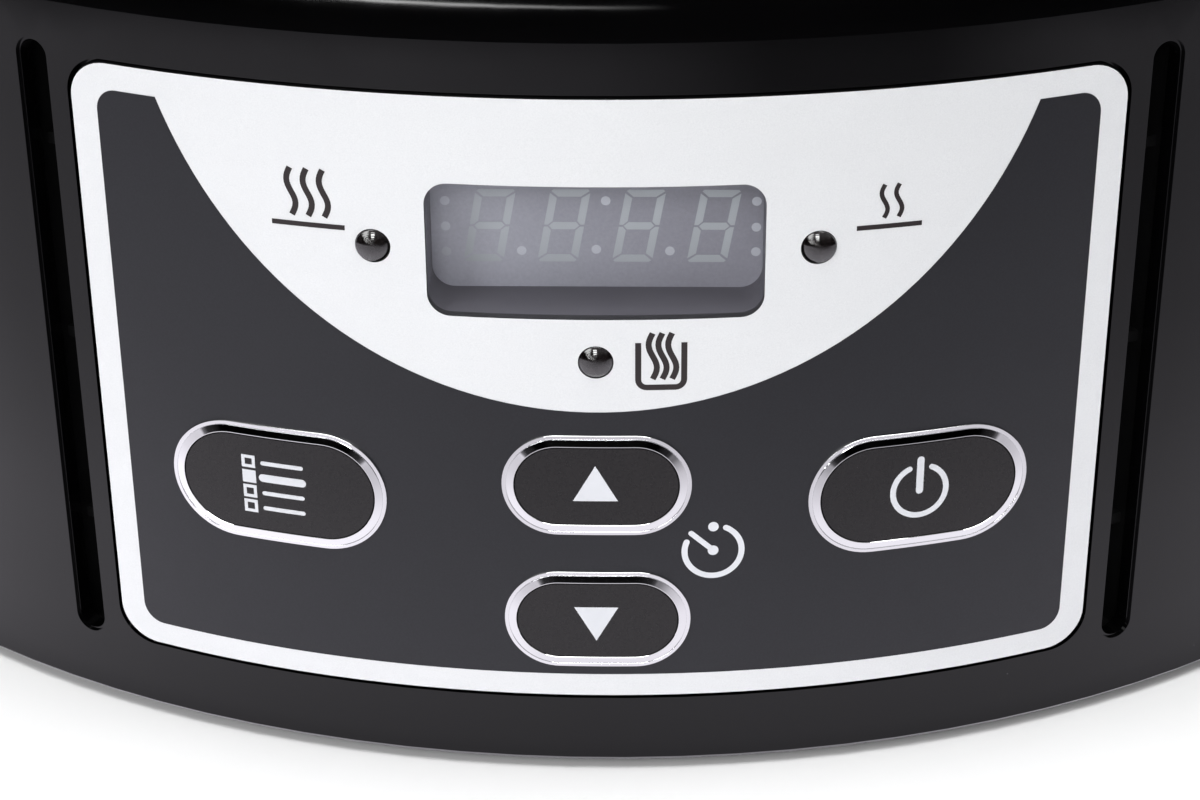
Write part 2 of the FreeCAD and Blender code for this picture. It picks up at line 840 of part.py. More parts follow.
def post_places():
    for side in ("0 - post_across", "post_across"):
        for end in ("-", "+"):
            yield side, f"panel_middle {end} post_up"


def control_board():
    outlines = [box_outline("0", "panel_middle", "board_width", "board_height")]
    outlines += [circle(across, up, "board_screw_radius + 0.1") for across, up in post_places()]
    back = "board_front - board_thickness"
    node(at_front("board", outlines, back, "board_thickness"), "control_board")
    screws = []
    for index, (across, up) in enumerate(post_places()):
        fixing = screw(f"board_screw_{index}", "board_screw_radius", "board_screw_length")
        screws.append(pointing(fixing, 0, (number(across), -number(back), number(up))))
    node(grouped("board_screw_group", screws), "board_screws")


def display():
    module = [box_outline("0", "window_middle", "display_width", "display_height")]
    depth = "display_front - board_front"
    node(at_front("module", module, "board_front", depth), "display_module")
    pane = at_front("pane_block", [window_outline("0 - fit_gap")], REACH, REACH)
    pane_shell = wall_shell("pane_shell", "wall_radius - plate_thickness", "wall_radius")
    node(common("pane", pane, pane_shell), "display_window")


def indicator_lamps():
    for name, (across, up) in LAMPS.items():
        place = (number(across), -number("board_front"), number(up))
        reach = math.sqrt(number("wall_radius") ** 2 - place[0] ** 2) + number("lamp_proud")
        straight = f"{round(reach, 3)} - board_front - lamp_radius"
        profile = outline(
            ("0", "0"),
            ("lamp_radius + 0.4", "0"),
            ("lamp_radius + 0.4", "1"),
            ("lamp_radius", "1"),
            ("lamp_radius", straight, "lamp_radius", "left"),
            ("lamp_tip", f"{straight} + sqrt(lamp_radius ^ 2 - lamp_tip ^ 2)"),
            ("0", f"{straight} + sqrt(lamp_radius ^ 2 - lamp_tip ^ 2)"),
        )
        node(pointing(revolved(f"lamp_{name}", profile), 0, place), f"lamp_{name}")


def buttons():
    for name, (across, up, length, height) in BUTTONS.items():
        inner = (f"({length} - 2 * ring_width)", f"({height} - 2 * ring_width)")
        shape = [stadium(across, up, length, height), stadium(across, up, *inner)]
        ring_inside, ring_outside = "wall_radius - plate_thickness", "wall_radius + ring_rise"
        ring_shell = wall_shell(f"ring_shell_{name}", ring_inside, ring_outside)
        block = at_front(f"ring_block_{name}", shape, REACH, REACH)
        node(common(f"ring_{name}_solid", block, ring_shell), f"ring_{name}")

        cap_size = [f"({side} - 2 * cap_gap)" for side in inner]
        cap_block = at_front(f"cap_block_{name}", [stadium(across, up, *cap_size)], "cap_back", "20")
        front = cylinder(f"cap_front_{name}", "wall_radius + cap_rise", THROUGH)
        cap = common(f"cap_{name}", cap_block, front)
        wing = box_outline(across, up, "wing_length", f"({inner[1]} + 2 * wing_reach)")
        wings = at_front(f"wings_{name}", [wing], "cap_back - wing_thickness", "wing_thickness")
        node(fused(f"button_{name}_solid", [cap, wings]), f"button_{name}")

        square = box_outline(across, up, "switch_size", "switch_size")
        case = at_front(f"switch_case_{name}", [square], "board_front", "switch_depth")
        top = "board_front + switch_depth"
        bore = [circle(across, up, "plunger_radius + plunger_gap")]
        bore_cut = at_front(f"switch_bore_{name}", bore, f"{top} - plunger_bore", "5")
        node(cut(f"switch_{name}_solid", case, bore_cut), f"switch_{name}")
        foot = f"{top} - plunger_sink"
        tip = "cap_back - wing_thickness"
        stem = [circle(across, up, "plunger_radius")]
        node(at_front(f"plunger_block_{name}", stem, foot, f"{tip} - ({foot})"), f"plunger_{name}")


# Heating


def heating_well():
    outer = "well_radius + well_thickness"
    floor = "well_floor + well_thickness"
    bend = "well_floor + well_corner"
    profile = outline(
        ("0", "well_floor"),
        (f"{outer} - well_corner", "well_floor", "well_corner", "left"),
        (outer, bend),
        (outer, f"{RIM_TOP} + seal_height"),
        ("flange_radius", f"{RIM_TOP} + seal_height"),
        ("flange_radius", FLANGE_TOP),
        ("well_radius", FLANGE_TOP),
        ("well_radius", bend, "well_corner - well_thickness", "right"),
        (f"{outer} - well_corner", floor),
        ("0", floor),
    )
    node(revolved("well", profile), "heating_well")
    seal = outline(
        ("rim_hole_radius + 1", RIM_TOP),
        ("flange_radius - 2", RIM_TOP),
        ("flange_radius - 2", f"{RIM_TOP} + seal_height"),
        ("rim_hole_radius + 1", f"{RIM_TOP} + seal_height"),
    )
    node(revolved("seal", seal), "rim_seal")


def ring_profile(inner, thickness, bottom, height):
    return outline(
        (inner, bottom),
        (f"{inner} + {thickness}", bottom),
        (f"{inner} + {thickness}", f"{bottom} + {height}"),
        (inner, f"{bottom} + {height}"),
    )


def heating_band():
    inner = "well_radius + well_thickness + fit_gap"
    hoop = ring_profile(inner, "band_thickness", "band_bottom", "band_height")
    strip = revolved("band", hoop, "band_angle")
    # the open ends of the strip stand each side of the back
    placed(strip, 90 + (360 - number("band_angle")) / 2)
    tabs = []
    for index, turn in enumerate(TAB_TURNS):
        shape = box_outline("0", "band_bottom - 3.5", "tab_width", "tab_height")
        tab = at_front(f"band_tab_{index}", [shape], f"{inner} + 0.2", "band_thickness - 0.4")
        tabs.append(placed(tab, turn))
    node(fused("band_with_tabs", [strip] + tabs), "heating_band")
    wrap = ring_profile(f"{inner} + band_thickness + 0.2", "wrap_thickness", "wrap_bottom", "wrap_height")
    node(revolved("wrap", wrap), "insulation_wrap")


def heater_leads():
    leads = []
    radius = number("well_radius + well_thickness + fit_gap + band_thickness / 2")
    for index, turn in enumerate(TAB_TURNS):
        across, along, _ = around(radius, turn, 0)
        body = new_body(f"lead_{index}")
        route = new_sketch(body, "YZ_Plane", str(round(across, 3)))
        outline(
            (str(round(along, 3)), "band_bottom - 8"),
            (str(round(along, 3)), "power_board_height + 3 + lead_bend", "lead_bend", "right"),
            (f"{round(along, 3)} - lead_bend", "power_board_height + 3"),
            ("power_board_middle + 20", "power_board_height + 3"),
            closed=False,
        )(route)
        section = new_sketch(body, "XY_Plane", "band_bottom - 8")
        circle(str(round(across, 3)), str(round(along, 3)), "lead_radius")(section)
        doc.recompute()
        pipe = body.newObject("PartDesign::AdditivePipe", f"lead_pipe_{index}")
        pipe.Profile = section
        pipe.Spine = (route, [])
        doc.recompute()
        leads.append(body)
    node(grouped("lead_group", leads), "heater_leads")


def well_fixing():
    stud = outline(
        ("0", "base_height + 1.2"),
        ("stud_radius", "base_height + 1.2"),
        ("stud_radius", "well_floor - 1.5"),
        ("stud_radius * 2.6", "well_floor - 1.5"),
        ("stud_radius * 2.6", "well_floor"),
        ("0", "well_floor"),
    )
    node(revolved("stud", stud), "tie_stud")
    half, point = "nut_flats / 2", "nut_flats / 2 / cos(30)"
    corners = [
        (point, "0"),
        (f"{point} / 2", half),
        (f"0 - {point} / 2", half),
        (f"0 - {point}", "0"),
        (f"0 - {point} / 2", f"0 - {half}"),
        (f"{point} / 2", f"0 - {half}"),
    ]
    sides = [outline(*corners), circle("0", "0", "stud_radius")]
    node(prism("nut", "XY_Plane", sides, "base_height + dome_height - nut_height", "nut_height"), "tie_nut")


def heat_sensors():
    fuse = outline(
        ("0", "0"),
        ("0.6", "0"),
        ("0.6", "4"),
        ("2.4", "5"),
        ("2.4", "17"),
        ("0.6", "18"),
        ("0.6", "22"),
        ("0", "22"),
    )
    lying = revolved("fuse", fuse)
    pointing(lying, 90, (30.0, 24.0, number("well_floor") - 2.5))
    node(lying, "thermal_fuse")
    probe = outline(
        ("0", "well_floor - 9"),
        ("2.5", "well_floor - 9"),
        ("2.5", "well_floor - 3"),
        ("6", "well_floor - 3"),
        ("6", "well_floor"),
        ("0", "well_floor"),
    )
    node(placed(revolved("probe", probe), 0, (-38.0, -12.0, 0)), "thermistor")


# Power board


def power_board_screw_places():
    for side in (-1, 1):
        for end in (-1, 1):
            across = side * (number("power_board_width") / 2 - 5)
            along = number("power_board_middle") + end * (number("power_board_length") / 2 - 5)
            yield across, along


def power_board():
    outlines = [box_outline("0", "power_board_middle", "power_board_width", "power_board_length")]
    places = list(power_board_screw_places())
    outlines += [circle(str(across), str(along), "board_screw_radius + 0.1") for across, along in places]
    node(prism("power", "XY_Plane", outlines, "power_board_height", "board_thickness"), "power_board")
    top = "power_board_height + board_thickness"
    case = box_outline("0 - 12", "power_board_middle - 4", "relay_width", "relay_depth")
    node(prism("relay_case", "XY_Plane", [case], top, "relay_height"), "relay")
    case = box_outline("15", "power_board_middle + 2", "capacitor_width", "capacitor_depth")
    node(prism("capacitor_case", "XY_Plane", [case], top, "capacitor_height"), "filter_capacitor")
    screws = []
    for index, (across, along) in enumerate(places):
        fixing = screw(f"power_screw_{index}", "board_screw_radius", "board_screw_length")
        place = (across, along, number(top))
        screws.append(placed(fixing, 180, place, FreeCAD.Vector(1, 0, 0)))
    node(grouped("power_screw_group", screws), "power_board_screws")


def ribbon_cable():
    back = "0 - (board_front - board_thickness)"
    top = "power_board_height + board_thickness"
    strip = outline(
        (back, "ribbon_top"),
        (back, top),
        ("power_board_middle - 18", top),
        ("power_board_middle - 18", f"{top} + ribbon_thickness"),
        (f"{back} + ribbon_thickness", f"{top} + ribbon_thickness"),
        (f"{back} + ribbon_thickness", "ribbon_top"),
    )
    node(prism("ribbon", "YZ_Plane", [strip], "ribbon_across", "ribbon_width"), "ribbon_cable")


# Crock and lid


def crock():
    outer, inner = "crock_radius", "(crock_radius - crock_wall)"
    lip_bottom = f"{FLANGE_TOP} + fit_gap"
    profile = outline(
        ("0", "crock_base"),
        (f"{outer} - crock_corner", "crock_base", "crock_corner", "left"),
        (outer, "crock_base + crock_corner"),
        (outer, lip_bottom),
        ("lip_radius - 3", lip_bottom, "3", "left"),
        ("lip_radius", f"{lip_bottom} + 3"),
        ("lip_radius", "lip_top - 4", "4", "left"),
        ("lip_radius - 4", "lip_top"),
        ("seat_radius + 2", "lip_top", "2", "left"),
        ("seat_radius", "lip_top - 2"),
        ("seat_radius", "seat_height"),
        (f"{inner} + 2", "seat_height", "2", "left"),
        (inner, "seat_height - 2"),
        (inner, "crock_floor + crock_inner_corner", "crock_inner_corner", "right"),
        (f"{inner} - crock_inner_corner", "crock_floor"),
        ("0", "crock_floor"),
    )
    bowl = revolved("bowl", profile)
    lug_shape = rounded_outline("0", "0", "(2 * lug_reach)", "lug_width", "lug_corner")
    lugs = prism("lugs", "XY_Plane", [lug_shape], "lug_bottom", "lug_thickness")
    ends = (number("lug_bottom"), number("lug_bottom + lug_thickness"))
    rounded(lugs, "lug_round", lambda edge: level(edge, *ends))
    trimmed = cut("lugs_cut", lugs, cylinder("lug_core", "seat_radius + 3", THROUGH))
    node(fused("crock_solid", [bowl, trimmed]), "crock")


def vent_place():
    """The vent stands square to the dome of the glass."""
    across = number("vent_across")
    arc = number(GLASS_ARC)
    tilt = math.degrees(math.asin(across / arc))
    height = number(GLASS_TOP) - arc + math.sqrt(arc**2 - across**2)
    spin = FreeCAD.Rotation(UP, 45) * FreeCAD.Rotation(FreeCAD.Vector(0, 1, 0), tilt)
    place = FreeCAD.Rotation(UP, 45).multVec(FreeCAD.Vector(across, 0, height))
    return FreeCAD.Placement(place, spin)


def lid():
    hole = "knob_screw_radius + 0.3"
    profile = outline(
        ("glass_radius", "glass_edge"),
        ("glass_radius", "glass_edge + glass_thickness", GLASS_ARC, "left"),
        (hole, GLASS_TOP),
        (hole, f"{GLASS_TOP} - glass_thickness", GLASS_ARC, "right"),
    )
    dome = revolved("dome", profile)
    vent_hole = cylinder("vent_hole", "vent_radius + 0.1", "20")
    vent_hole.Placement = vent_place() * FreeCAD.Placement(FreeCAD.Vector(0, 0, -10), FreeCAD.Rotation())
    node(cut("glass", dome, vent_hole), "lid_glass")

    sheet_gap = "(glass_radius + 0.5)"
    top = "rim_bottom + rim_height"
    rim = outline(
        ("rim_outer - 1.6", "rim_bottom"),
        ("rim_outer", "rim_bottom + 0.8"),
        ("rim_outer", top),
        ("rim_inner", f"{top} + 2"),
        ("rim_inner", f"{top} + 0.7"),
        (sheet_gap, f"{top} - rim_lap"),
        (sheet_gap, "rim_bottom + 1.5"),
        ("rim_inner + rim_fold", "rim_bottom + 1.8 + rim_fold"),
        ("rim_inner + rim_fold", "rim_bottom + 1.8"),
    )
    node(revolved("rim", rim), "lid_rim")

    eyelet = outline(
        ("vent_radius - 1.2", "0 - glass_thickness - 1.6"),
        ("vent_radius + 1.4", "0 - glass_thickness - 1.6"),
        ("vent_radius + 1.4", "0 - glass_thickness - 0.6"),
        ("vent_radius", "0 - glass_thickness - 0.6"),
        ("vent_radius", "0.1"),
        ("vent_flange", "0.1"),
        ("vent_flange - 0.6", "1.1"),
        ("vent_radius - 1.2", "1.1"),
    )
    ring = revolved("eyelet", eyelet)
    ring.Placement = vent_place()
    node(ring, "vent_eyelet")


def lid_knob():
    base = f"{GLASS_TOP} + 0.1"
    foot = f"{base} + washer_thickness"
    washer = ring_profile("knob_screw_radius + 0.3", "washer_radius", base, "washer_thickness")
    node(revolved("washer", washer), "knob_washer")
    crown = "(knob_radius - 4)"
    crown_arc = f"({crown} * {crown} + knob_crown * knob_crown) / (2 * knob_crown)"
    profile = outline(
        ("knob_screw_radius", foot),
        ("knob_neck + 2", foot),
        ("knob_neck + 2", f"{foot} + 1.5"),
        ("knob_neck", f"{foot} + 4"),
        ("knob_neck", f"{foot} + knob_neck_top", "knob_waist", "right"),
        ("knob_radius", f"{foot} + knob_edge_height", "knob_edge_round", "left"),
        ("knob_radius - 3", f"{foot} + knob_side", crown_arc, "left"),
        ("1", f"{foot} + knob_side + knob_crown"),
        ("0", f"{foot} + knob_side + knob_crown"),
        ("0", f"{foot} + knob_bore_depth"),
        ("knob_screw_radius", f"{foot} + knob_bore_depth"),
    )
    node(revolved("knob", profile), "lid_knob")
    head = number(f"{GLASS_TOP} - glass_thickness - 0.1")
    fixing = screw("knob_screw_solid", "knob_screw_radius", "knob_screw_length")
    node(placed(fixing, 0, (0, 0, head)), "knob_screw")


def check_objects():
    for item in doc.Objects:
        if "Invalid" in item.State or "Error" in item.State:
            raise RuntimeError(f"{item.Name} is {item.State}")
    for item in nodes:
        if item.Shape.isNull() or not item.Shape.isValid() or not item.Shape.Solids:
            raise RuntimeError(f"{item.Label} has no valid shape")


def write_parts():
    os.makedirs("parts", exist_ok=True)
    for item in nodes:
        item.Shape.exportStep(f"parts/{item.Label}.step")
        print(item.Label, len(item.Shape.Solids), round(item.Shape.Volume, 1))


fill_sheet()
for make in (housing_shell, base_plate, feet, base_screws, side_handles, cord_gland, vent_baffles):
    make()
for make in (fascia_plate, panel_carrier, carrier_screws, control_board, display):
    make()
for make in (indicator_lamps, buttons, heating_well, heating_band, heater_leads, well_fixing):
    make()
for make in (heat_sensors, power_board, ribbon_cable, crock, lid, lid_knob):
    make()
doc.recompute()
check_objects()
write_parts()
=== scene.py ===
import json
import math

import bmesh
import bpy
from mathutils import Matrix, Vector


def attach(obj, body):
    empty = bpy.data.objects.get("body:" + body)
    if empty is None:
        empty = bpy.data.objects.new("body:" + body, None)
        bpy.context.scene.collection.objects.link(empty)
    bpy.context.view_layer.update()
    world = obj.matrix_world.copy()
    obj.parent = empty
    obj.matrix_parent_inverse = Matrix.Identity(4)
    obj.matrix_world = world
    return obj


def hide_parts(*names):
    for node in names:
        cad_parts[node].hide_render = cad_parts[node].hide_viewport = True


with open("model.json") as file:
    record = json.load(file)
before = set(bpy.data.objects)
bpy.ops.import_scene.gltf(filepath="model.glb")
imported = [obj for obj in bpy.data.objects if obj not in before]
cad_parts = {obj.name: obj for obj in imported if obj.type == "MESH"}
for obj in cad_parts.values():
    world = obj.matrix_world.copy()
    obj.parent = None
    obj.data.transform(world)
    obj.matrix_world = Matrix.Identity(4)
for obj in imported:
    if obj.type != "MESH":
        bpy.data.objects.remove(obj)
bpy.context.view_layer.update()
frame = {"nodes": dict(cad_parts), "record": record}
nodes = frame["nodes"]

# Lengths of shapes are millimetres in the row frame, and those of the stage and of materials are
# metres. A place on the wall is (along, up): along is the arc from the middle of the front, and up
# is the height above the zero line of the control panel.
MM = 0.001
WALL = 158.6  # radius of the panel's face
PANEL_ZERO = 64.7
CAP_FRONT = WALL + 0.55  # radius of the keys' faces
DISPLAY_FACE = 148.2  # distance of the flat display from the Z axis
INK = 0.035  # thickness of a printed layer


# Materials


def set_range(mapped, start, end, low, high):
    limits = {"From Min": start, "From Max": end, "To Min": low, "To Max": high}
    for key, value in limits.items():
        mapped.inputs[key].default_value = value


class Look:
    """A node material in the making. Coordinates are the object's own, in metres."""

    def __init__(self, name):
        self.material = bpy.data.materials.new(name)
        self.material.use_nodes = True
        self.tree = self.material.node_tree
        self.shader = self.tree.nodes["Principled BSDF"]
        self.place = self.new("ShaderNodeTexCoord").outputs["Object"]

    def new(self, kind, **settings):
        made = self.tree.nodes.new(kind)
        for key, value in settings.items():
            setattr(made, key, value)
        return made

    def link(self, source, target):
        self.tree.links.new(source, target)

    def fix(self, **values):
        """Constant values on the shader's own sockets; underscores stand for spaces."""
        for key, value in values.items():
            self.shader.inputs[key.replace("_", " ")].default_value = value
        return self

    def stretched(self, scale):
        mapping = self.new("ShaderNodeMapping")
        mapping.inputs["Scale"].default_value = scale
        self.link(self.place, mapping.inputs["Vector"])
        return mapping.outputs["Vector"]

    def noise(self, scale, detail=3.0, roughness=0.55, stretch=None):
        texture = self.new("ShaderNodeTexNoise")
        texture.inputs["Scale"].default_value = scale
        texture.inputs["Detail"].default_value = detail
        texture.inputs["Roughness"].default_value = roughness
        self.link(self.stretched(stretch) if stretch else self.place, texture.inputs["Vector"])
        return texture.outputs["Fac"]

    def cells(self, scale):
        texture = self.new("ShaderNodeTexVoronoi")
        texture.inputs["Scale"].default_value = scale
        self.link(self.place, texture.inputs["Vector"])
        return texture.outputs["Distance"]

    def span(self, source, low, high, start=0.3, end=0.7):
        """Maps a value from start..end to low..high, held at the ends."""
        mapped = self.new("ShaderNodeMapRange")
        set_range(mapped, start, end, low, high)
        self.link(source, mapped.inputs["Value"])
        return mapped.outputs["Result"]

    def colours(self, source, *stops):
        """A colour ramp of (position, (r, g, b)) stops."""
        ramp = self.new("ShaderNodeValToRGB")
        elements = ramp.color_ramp.elements
        while len(elements) < len(stops):
            elements.new(0.5)
        for element, (position, colour) in zip(elements, stops):
            element.position = position
            element.color = (*colour, 1.0)
        self.link(source, ramp.inputs["Fac"])
        return ramp.outputs["Color"]

    def mixed(self, amount, first, second):
        mix = self.new("ShaderNodeMix", data_type="RGBA")
        self.link(amount, mix.inputs["Factor"])
        self.link(first, mix.inputs["A"])
        self.link(second, mix.inputs["B"])
        return mix.outputs["Result"]

    def bumped(self, source, strength, distance):
        bump = self.new("ShaderNodeBump")
        bump.inputs["Strength"].default_value = strength
        bump.inputs["Distance"].default_value = distance
        self.link(source, bump.inputs["Height"])
        return bump.outputs["Normal"]

    def facing_out(self, start, end):
        """From 0 to 1 as the surface turns to face out from the Z axis, between two cosines."""
        outward = self.new("ShaderNodeVectorMath", operation="MULTIPLY")
        outward.inputs[1].default_value = (1.0, 1.0, 0.0)
        self.link(self.place, outward.inputs[0])
        unit = self.new("ShaderNodeVectorMath", operation="NORMALIZE")
        self.link(outward.outputs["Vector"], unit.inputs[0])
        turned = self.new("ShaderNodeVectorMath", operation="DOT_PRODUCT")
        self.link(unit.outputs["Vector"], turned.inputs[0])
        self.link(self.new("ShaderNodeNewGeometry").outputs["Normal"], turned.inputs[1])
        return self.span(turned.outputs["Value"], 0.0, 1.0, start, end)

    def put(self, **sources):
        """Changing values for the shader's sockets; underscores stand for spaces."""
        for key, source in sources.items():
            self.link(source, self.shader.inputs[key.replace("_", " ")])


def shade(colour, factor):
    return tuple(min(1.0, channel * factor) for channel in colour)


def toned(look, source, colour, darker, lighter):
    """A colour that goes from darker to lighter by two shares of itself."""
    stops = (0.3, shade(colour, 1 - darker)), (0.7, shade(colour, 1 + lighter))
    return look.colours(source, *stops)


def moulded(name, colour, roughness, spread=0.12, grain=900.0, height=0.00002, **fixed):
    """Moulded or painted stuff: slow changes of tone, changing gloss, and a fine grain."""
    look = Look(name)
    slow = look.noise(60.0, 4.0)
    fine = look.noise(grain, 2.0)
    look.put(
        Base_Color=toned(look, slow, colour, spread, spread),
        Roughness=look.span(look.noise(180.0, 3.0), roughness * 0.85, roughness * 1.15),
        Normal=look.bumped(fine, 0.35, height),
    )
    return look.fix(**fixed).material


def brushed(name, colour, roughness, stretch, spread=0.1, scale=900.0, strength=0.25):
    """Metal with fine marks that run one way: stretch holds the scale along each axis."""
    look = Look(name)
    marks = look.noise(scale, 3.0, 0.6, stretch)
    cloud = look.noise(35.0, 3.0)
    look.put(
        Base_Color=toned(look, cloud, colour, spread, spread / 2),
        Roughness=look.span(marks, roughness * 0.8, roughness * 1.25),
        Normal=look.bumped(marks, strength, 0.00001),
    )
    return look.fix(Metallic=1.0).material


def housing_gloss():
    """Black gloss paint: faint waves, smears that change its gloss, and a few specks of dust."""
    look = Look("housing_gloss")
    slow = look.noise(14.0, 3.0)
    smear = look.noise(55.0, 5.0, 0.65)
    ripple = look.noise(42.0, 1.5)
    specks = look.cells(260.0)
    dust = look.span(specks, 1.0, 0.0, 0.018, 0.03)
    base = look.colours(slow, (0.3, (0.0006, 0.0006, 0.0007)), (0.7, (0.0013, 0.0012, 0.0014)))
    grey = look.colours(smear, (0.0, (0.10, 0.10, 0.11)), (1.0, (0.2, 0.2, 0.21)))
    dusty = look.span(look.noise(21.0, 2.0), 0.0, 1.0, 0.57, 0.62)
    here = look.new("ShaderNodeMath", operation="MULTIPLY")
    look.link(dust, here.inputs[0])
    look.link(dusty, here.inputs[1])
    look.put(
        Base_Color=look.mixed(here.outputs["Value"], base, grey),
        Roughness=look.span(smear, 0.055, 0.11),
        Normal=look.bumped(ripple, 0.12, 0.00012),
    )
    return look.fix(IOR=1.42).material


def clear_pane(name, tint, gloss=0.02, most=1.0):
    """Clear sheet that lets light straight through and mirrors more at a slant, up to a share."""
    least = 0.03
    look = Look(name)
    tree = look.tree
    tree.nodes.remove(look.shader)
    through = look.new("ShaderNodeBsdfTransparent")
    through.inputs["Color"].default_value = (*tint, 1.0)
    mirror = look.new("ShaderNodeBsdfGlossy")
    look.link(look.span(look.noise(70.0, 3.0), gloss, gloss * 3), mirror.inputs["Roughness"])
    share = look.new("ShaderNodeFresnel")
    share.inputs["IOR"].default_value = 1.45
    mix = look.new("ShaderNodeMixShader")
    # only the side that light enters mirrors, because the light isn't bent on its way through
    entering = look.new("ShaderNodeMath", operation="MULTIPLY")
    look.link(look.span(share.outputs["Fac"], least, most, least, most), entering.inputs[0])
    inner = look.new("ShaderNodeNewGeometry").outputs["Backfacing"]
    look.link(look.span(inner, 1.0, 0.0, 0.0, 1.0), entering.inputs[1])
    look.link(entering.outputs["Value"], mix.inputs["Fac"])
    look.link(through.outputs["BSDF"], mix.inputs[1])
    look.link(mirror.outputs["BSDF"], mix.inputs[2])
    look.link(mix.outputs["Shader"], tree.nodes["Material Output"].inputs["Surface"])
    return look.material


def crock_glaze():
    """Dark glaze with small rusty specks."""
    look = Look("crock_glaze")
    pool = look.noise(26.0, 4.0)
    speck = look.span(look.cells(520.0), 1.0, 0.0, 0.05, 0.11)
    body = look.colours(pool, (0.25, (0.010, 0.009, 0.009)), (0.75, (0.020, 0.018, 0.017)))
    rust = look.colours(pool, (0.0, (0.07, 0.045, 0.03)), (1.0, (0.13, 0.09, 0.065)))
    look.put(
        Base_Color=look.mixed(speck, body, rust),
        Roughness=look.span(pool, 0.07, 0.16),
        Normal=look.bumped(look.noise(180.0, 2.0), 0.22, 0.00014),
    )
    return look.fix(Coat_Weight=0.4, Coat_Roughness=0.06).material


def panel_silver():
    """Satin silver paint on the front of black plastic: fine flake and a faint sideways grain."""
    look = Look("panel_silver")
    flake = look.noise(5200.0, 1.0)
    grain = look.noise(1500.0, 2.0, 0.5, (0.12, 0.12, 1.0))
    tone = look.noise(22.0, 2.0)
    base = look.colours(tone, (0.3, (0.785, 0.795, 0.812)), (0.7, (0.815, 0.825, 0.842)))
    worn = look.colours(flake, (0.3, (0.74, 0.75, 0.767)), (0.7, (0.85, 0.86, 0.872)))
    soft = look.span(grain, 0.2, 0.5)
    face = look.facing_out(0.5, 0.7)
    body = look.colours(tone, (0.3, (0.010, 0.010, 0.011)), (0.7, (0.016, 0.016, 0.017)))
    look.put(
        Base_Color=look.mixed(face, body, look.mixed(soft, base, worn)),
        Metallic=look.span(face, 0.0, 0.25, 0.0, 1.0),
        Roughness=look.span(grain, 0.38, 0.5),
        Normal=look.bumped(flake, 0.06, 0.00001),
    )
    return look.fix(IOR=1.5).material


def panel_print():
    """Charcoal ink with a fine pale grain."""
    look = Look("panel_print")
    tone = look.noise(30.0, 3.0)
    grain = look.noise(3800.0, 2.0)
    base = look.colours(tone, (0.3, (0.0078, 0.0082, 0.0112)), (0.7, (0.0100, 0.0104, 0.0138)))
    light = look.colours(tone, (0.0, (0.0125, 0.0130, 0.0170)), (1.0, (0.0165, 0.0170, 0.0215)))
    look.put(
        Base_Color=look.mixed(look.span(grain, 0.0, 0.8), base, light),
        Roughness=look.span(look.noise(420.0, 3.0), 0.33, 0.42),
        Normal=look.bumped(grain, 0.12, 0.00001),
    )
    return look.fix(IOR=1.48).material


def button_face():
    """Black satin plastic with a fine grain."""
    look = Look("button_face")
    grain = look.noise(2600.0, 2.0, 0.6)
    tone = look.noise(60.0, 3.0)
    base = look.colours(tone, (0.3, (0.0030, 0.0024, 0.0028)), (0.7, (0.0058, 0.0046, 0.0050)))
    light = look.colours(tone, (0.0, (0.0090, 0.0076, 0.0080)), (1.0, (0.0140, 0.0118, 0.0122)))
    look.put(
        Base_Color=look.mixed(look.span(grain, 0.0, 0.7), base, light),
        Roughness=look.span(grain, 0.24, 0.36),
        Normal=look.bumped(grain, 0.3, 0.00002),
    )
    return look.fix(IOR=1.5).material


def display_lens():
    """Smoked display front with painted light: a little paler towards its left end and lower edge.
    """
    look = Look("display_grey")
    fine = look.noise(2400.0, 2.0)
    split = look.new("ShaderNodeSeparateXYZ")
    look.link(look.place, split.inputs["Vector"])
    along = look.span(split.outputs["X"], 0.0, 1.0, -0.021, 0.012)
    # painted light: both tones of the grain are paler towards the left end
    tint = look.colours(
        along,
        (0.0, (0.46, 0.465, 0.53)),
        (0.45, (0.355, 0.36, 0.41)),
        (1.0, (0.29, 0.29, 0.335)),
    )
    shadow = look.colours(
        along,
        (0.0, (0.42, 0.425, 0.485)),
        (0.45, (0.325, 0.33, 0.38)),
        (1.0, (0.265, 0.265, 0.305)),
    )
    # painted light: the face is paler towards its lower edge
    painted_light_below = look.new("ShaderNodeVectorMath", operation="SCALE")
    look.link(look.mixed(look.span(fine, 0.0, 1.0), tint, shadow), painted_light_below.inputs[0])
    look.link(look.span(split.outputs["Z"], 1.32, 0.98, 0.067, 0.080), painted_light_below.inputs["Scale"])
    look.put(
        Base_Color=painted_light_below.outputs["Vector"],
        Roughness=look.span(look.noise(180.0, 3.0), 0.42, 0.56),
        Normal=look.bumped(fine, 0.2, 0.00001),
    )
    return look.material


def lamp_glass():
    """Dark tinted lens with a dusty, finely turned surface."""
    look = Look("lamp_lens")
    grain = look.noise(2600.0, 3.0, 0.7)
    cloud = look.noise(600.0, 2.0)
    deep = look.colours(cloud, (0.3, (0.0035, 0.0025, 0.0025)), (0.7, (0.007, 0.0055, 0.0055)))
    dusty = look.colours(cloud, (0.3, (0.03, 0.027, 0.028)), (0.7, (0.055, 0.051, 0.053)))
    look.put(
        Base_Color=look.mixed(look.span(grain, 0.0, 0.5, 0.5, 0.72), deep, dusty),
        Roughness=look.span(grain, 0.03, 0.08),
        Normal=look.bumped(grain, 0.2, 0.00002),
    )
    return look.fix(IOR=2.0).material


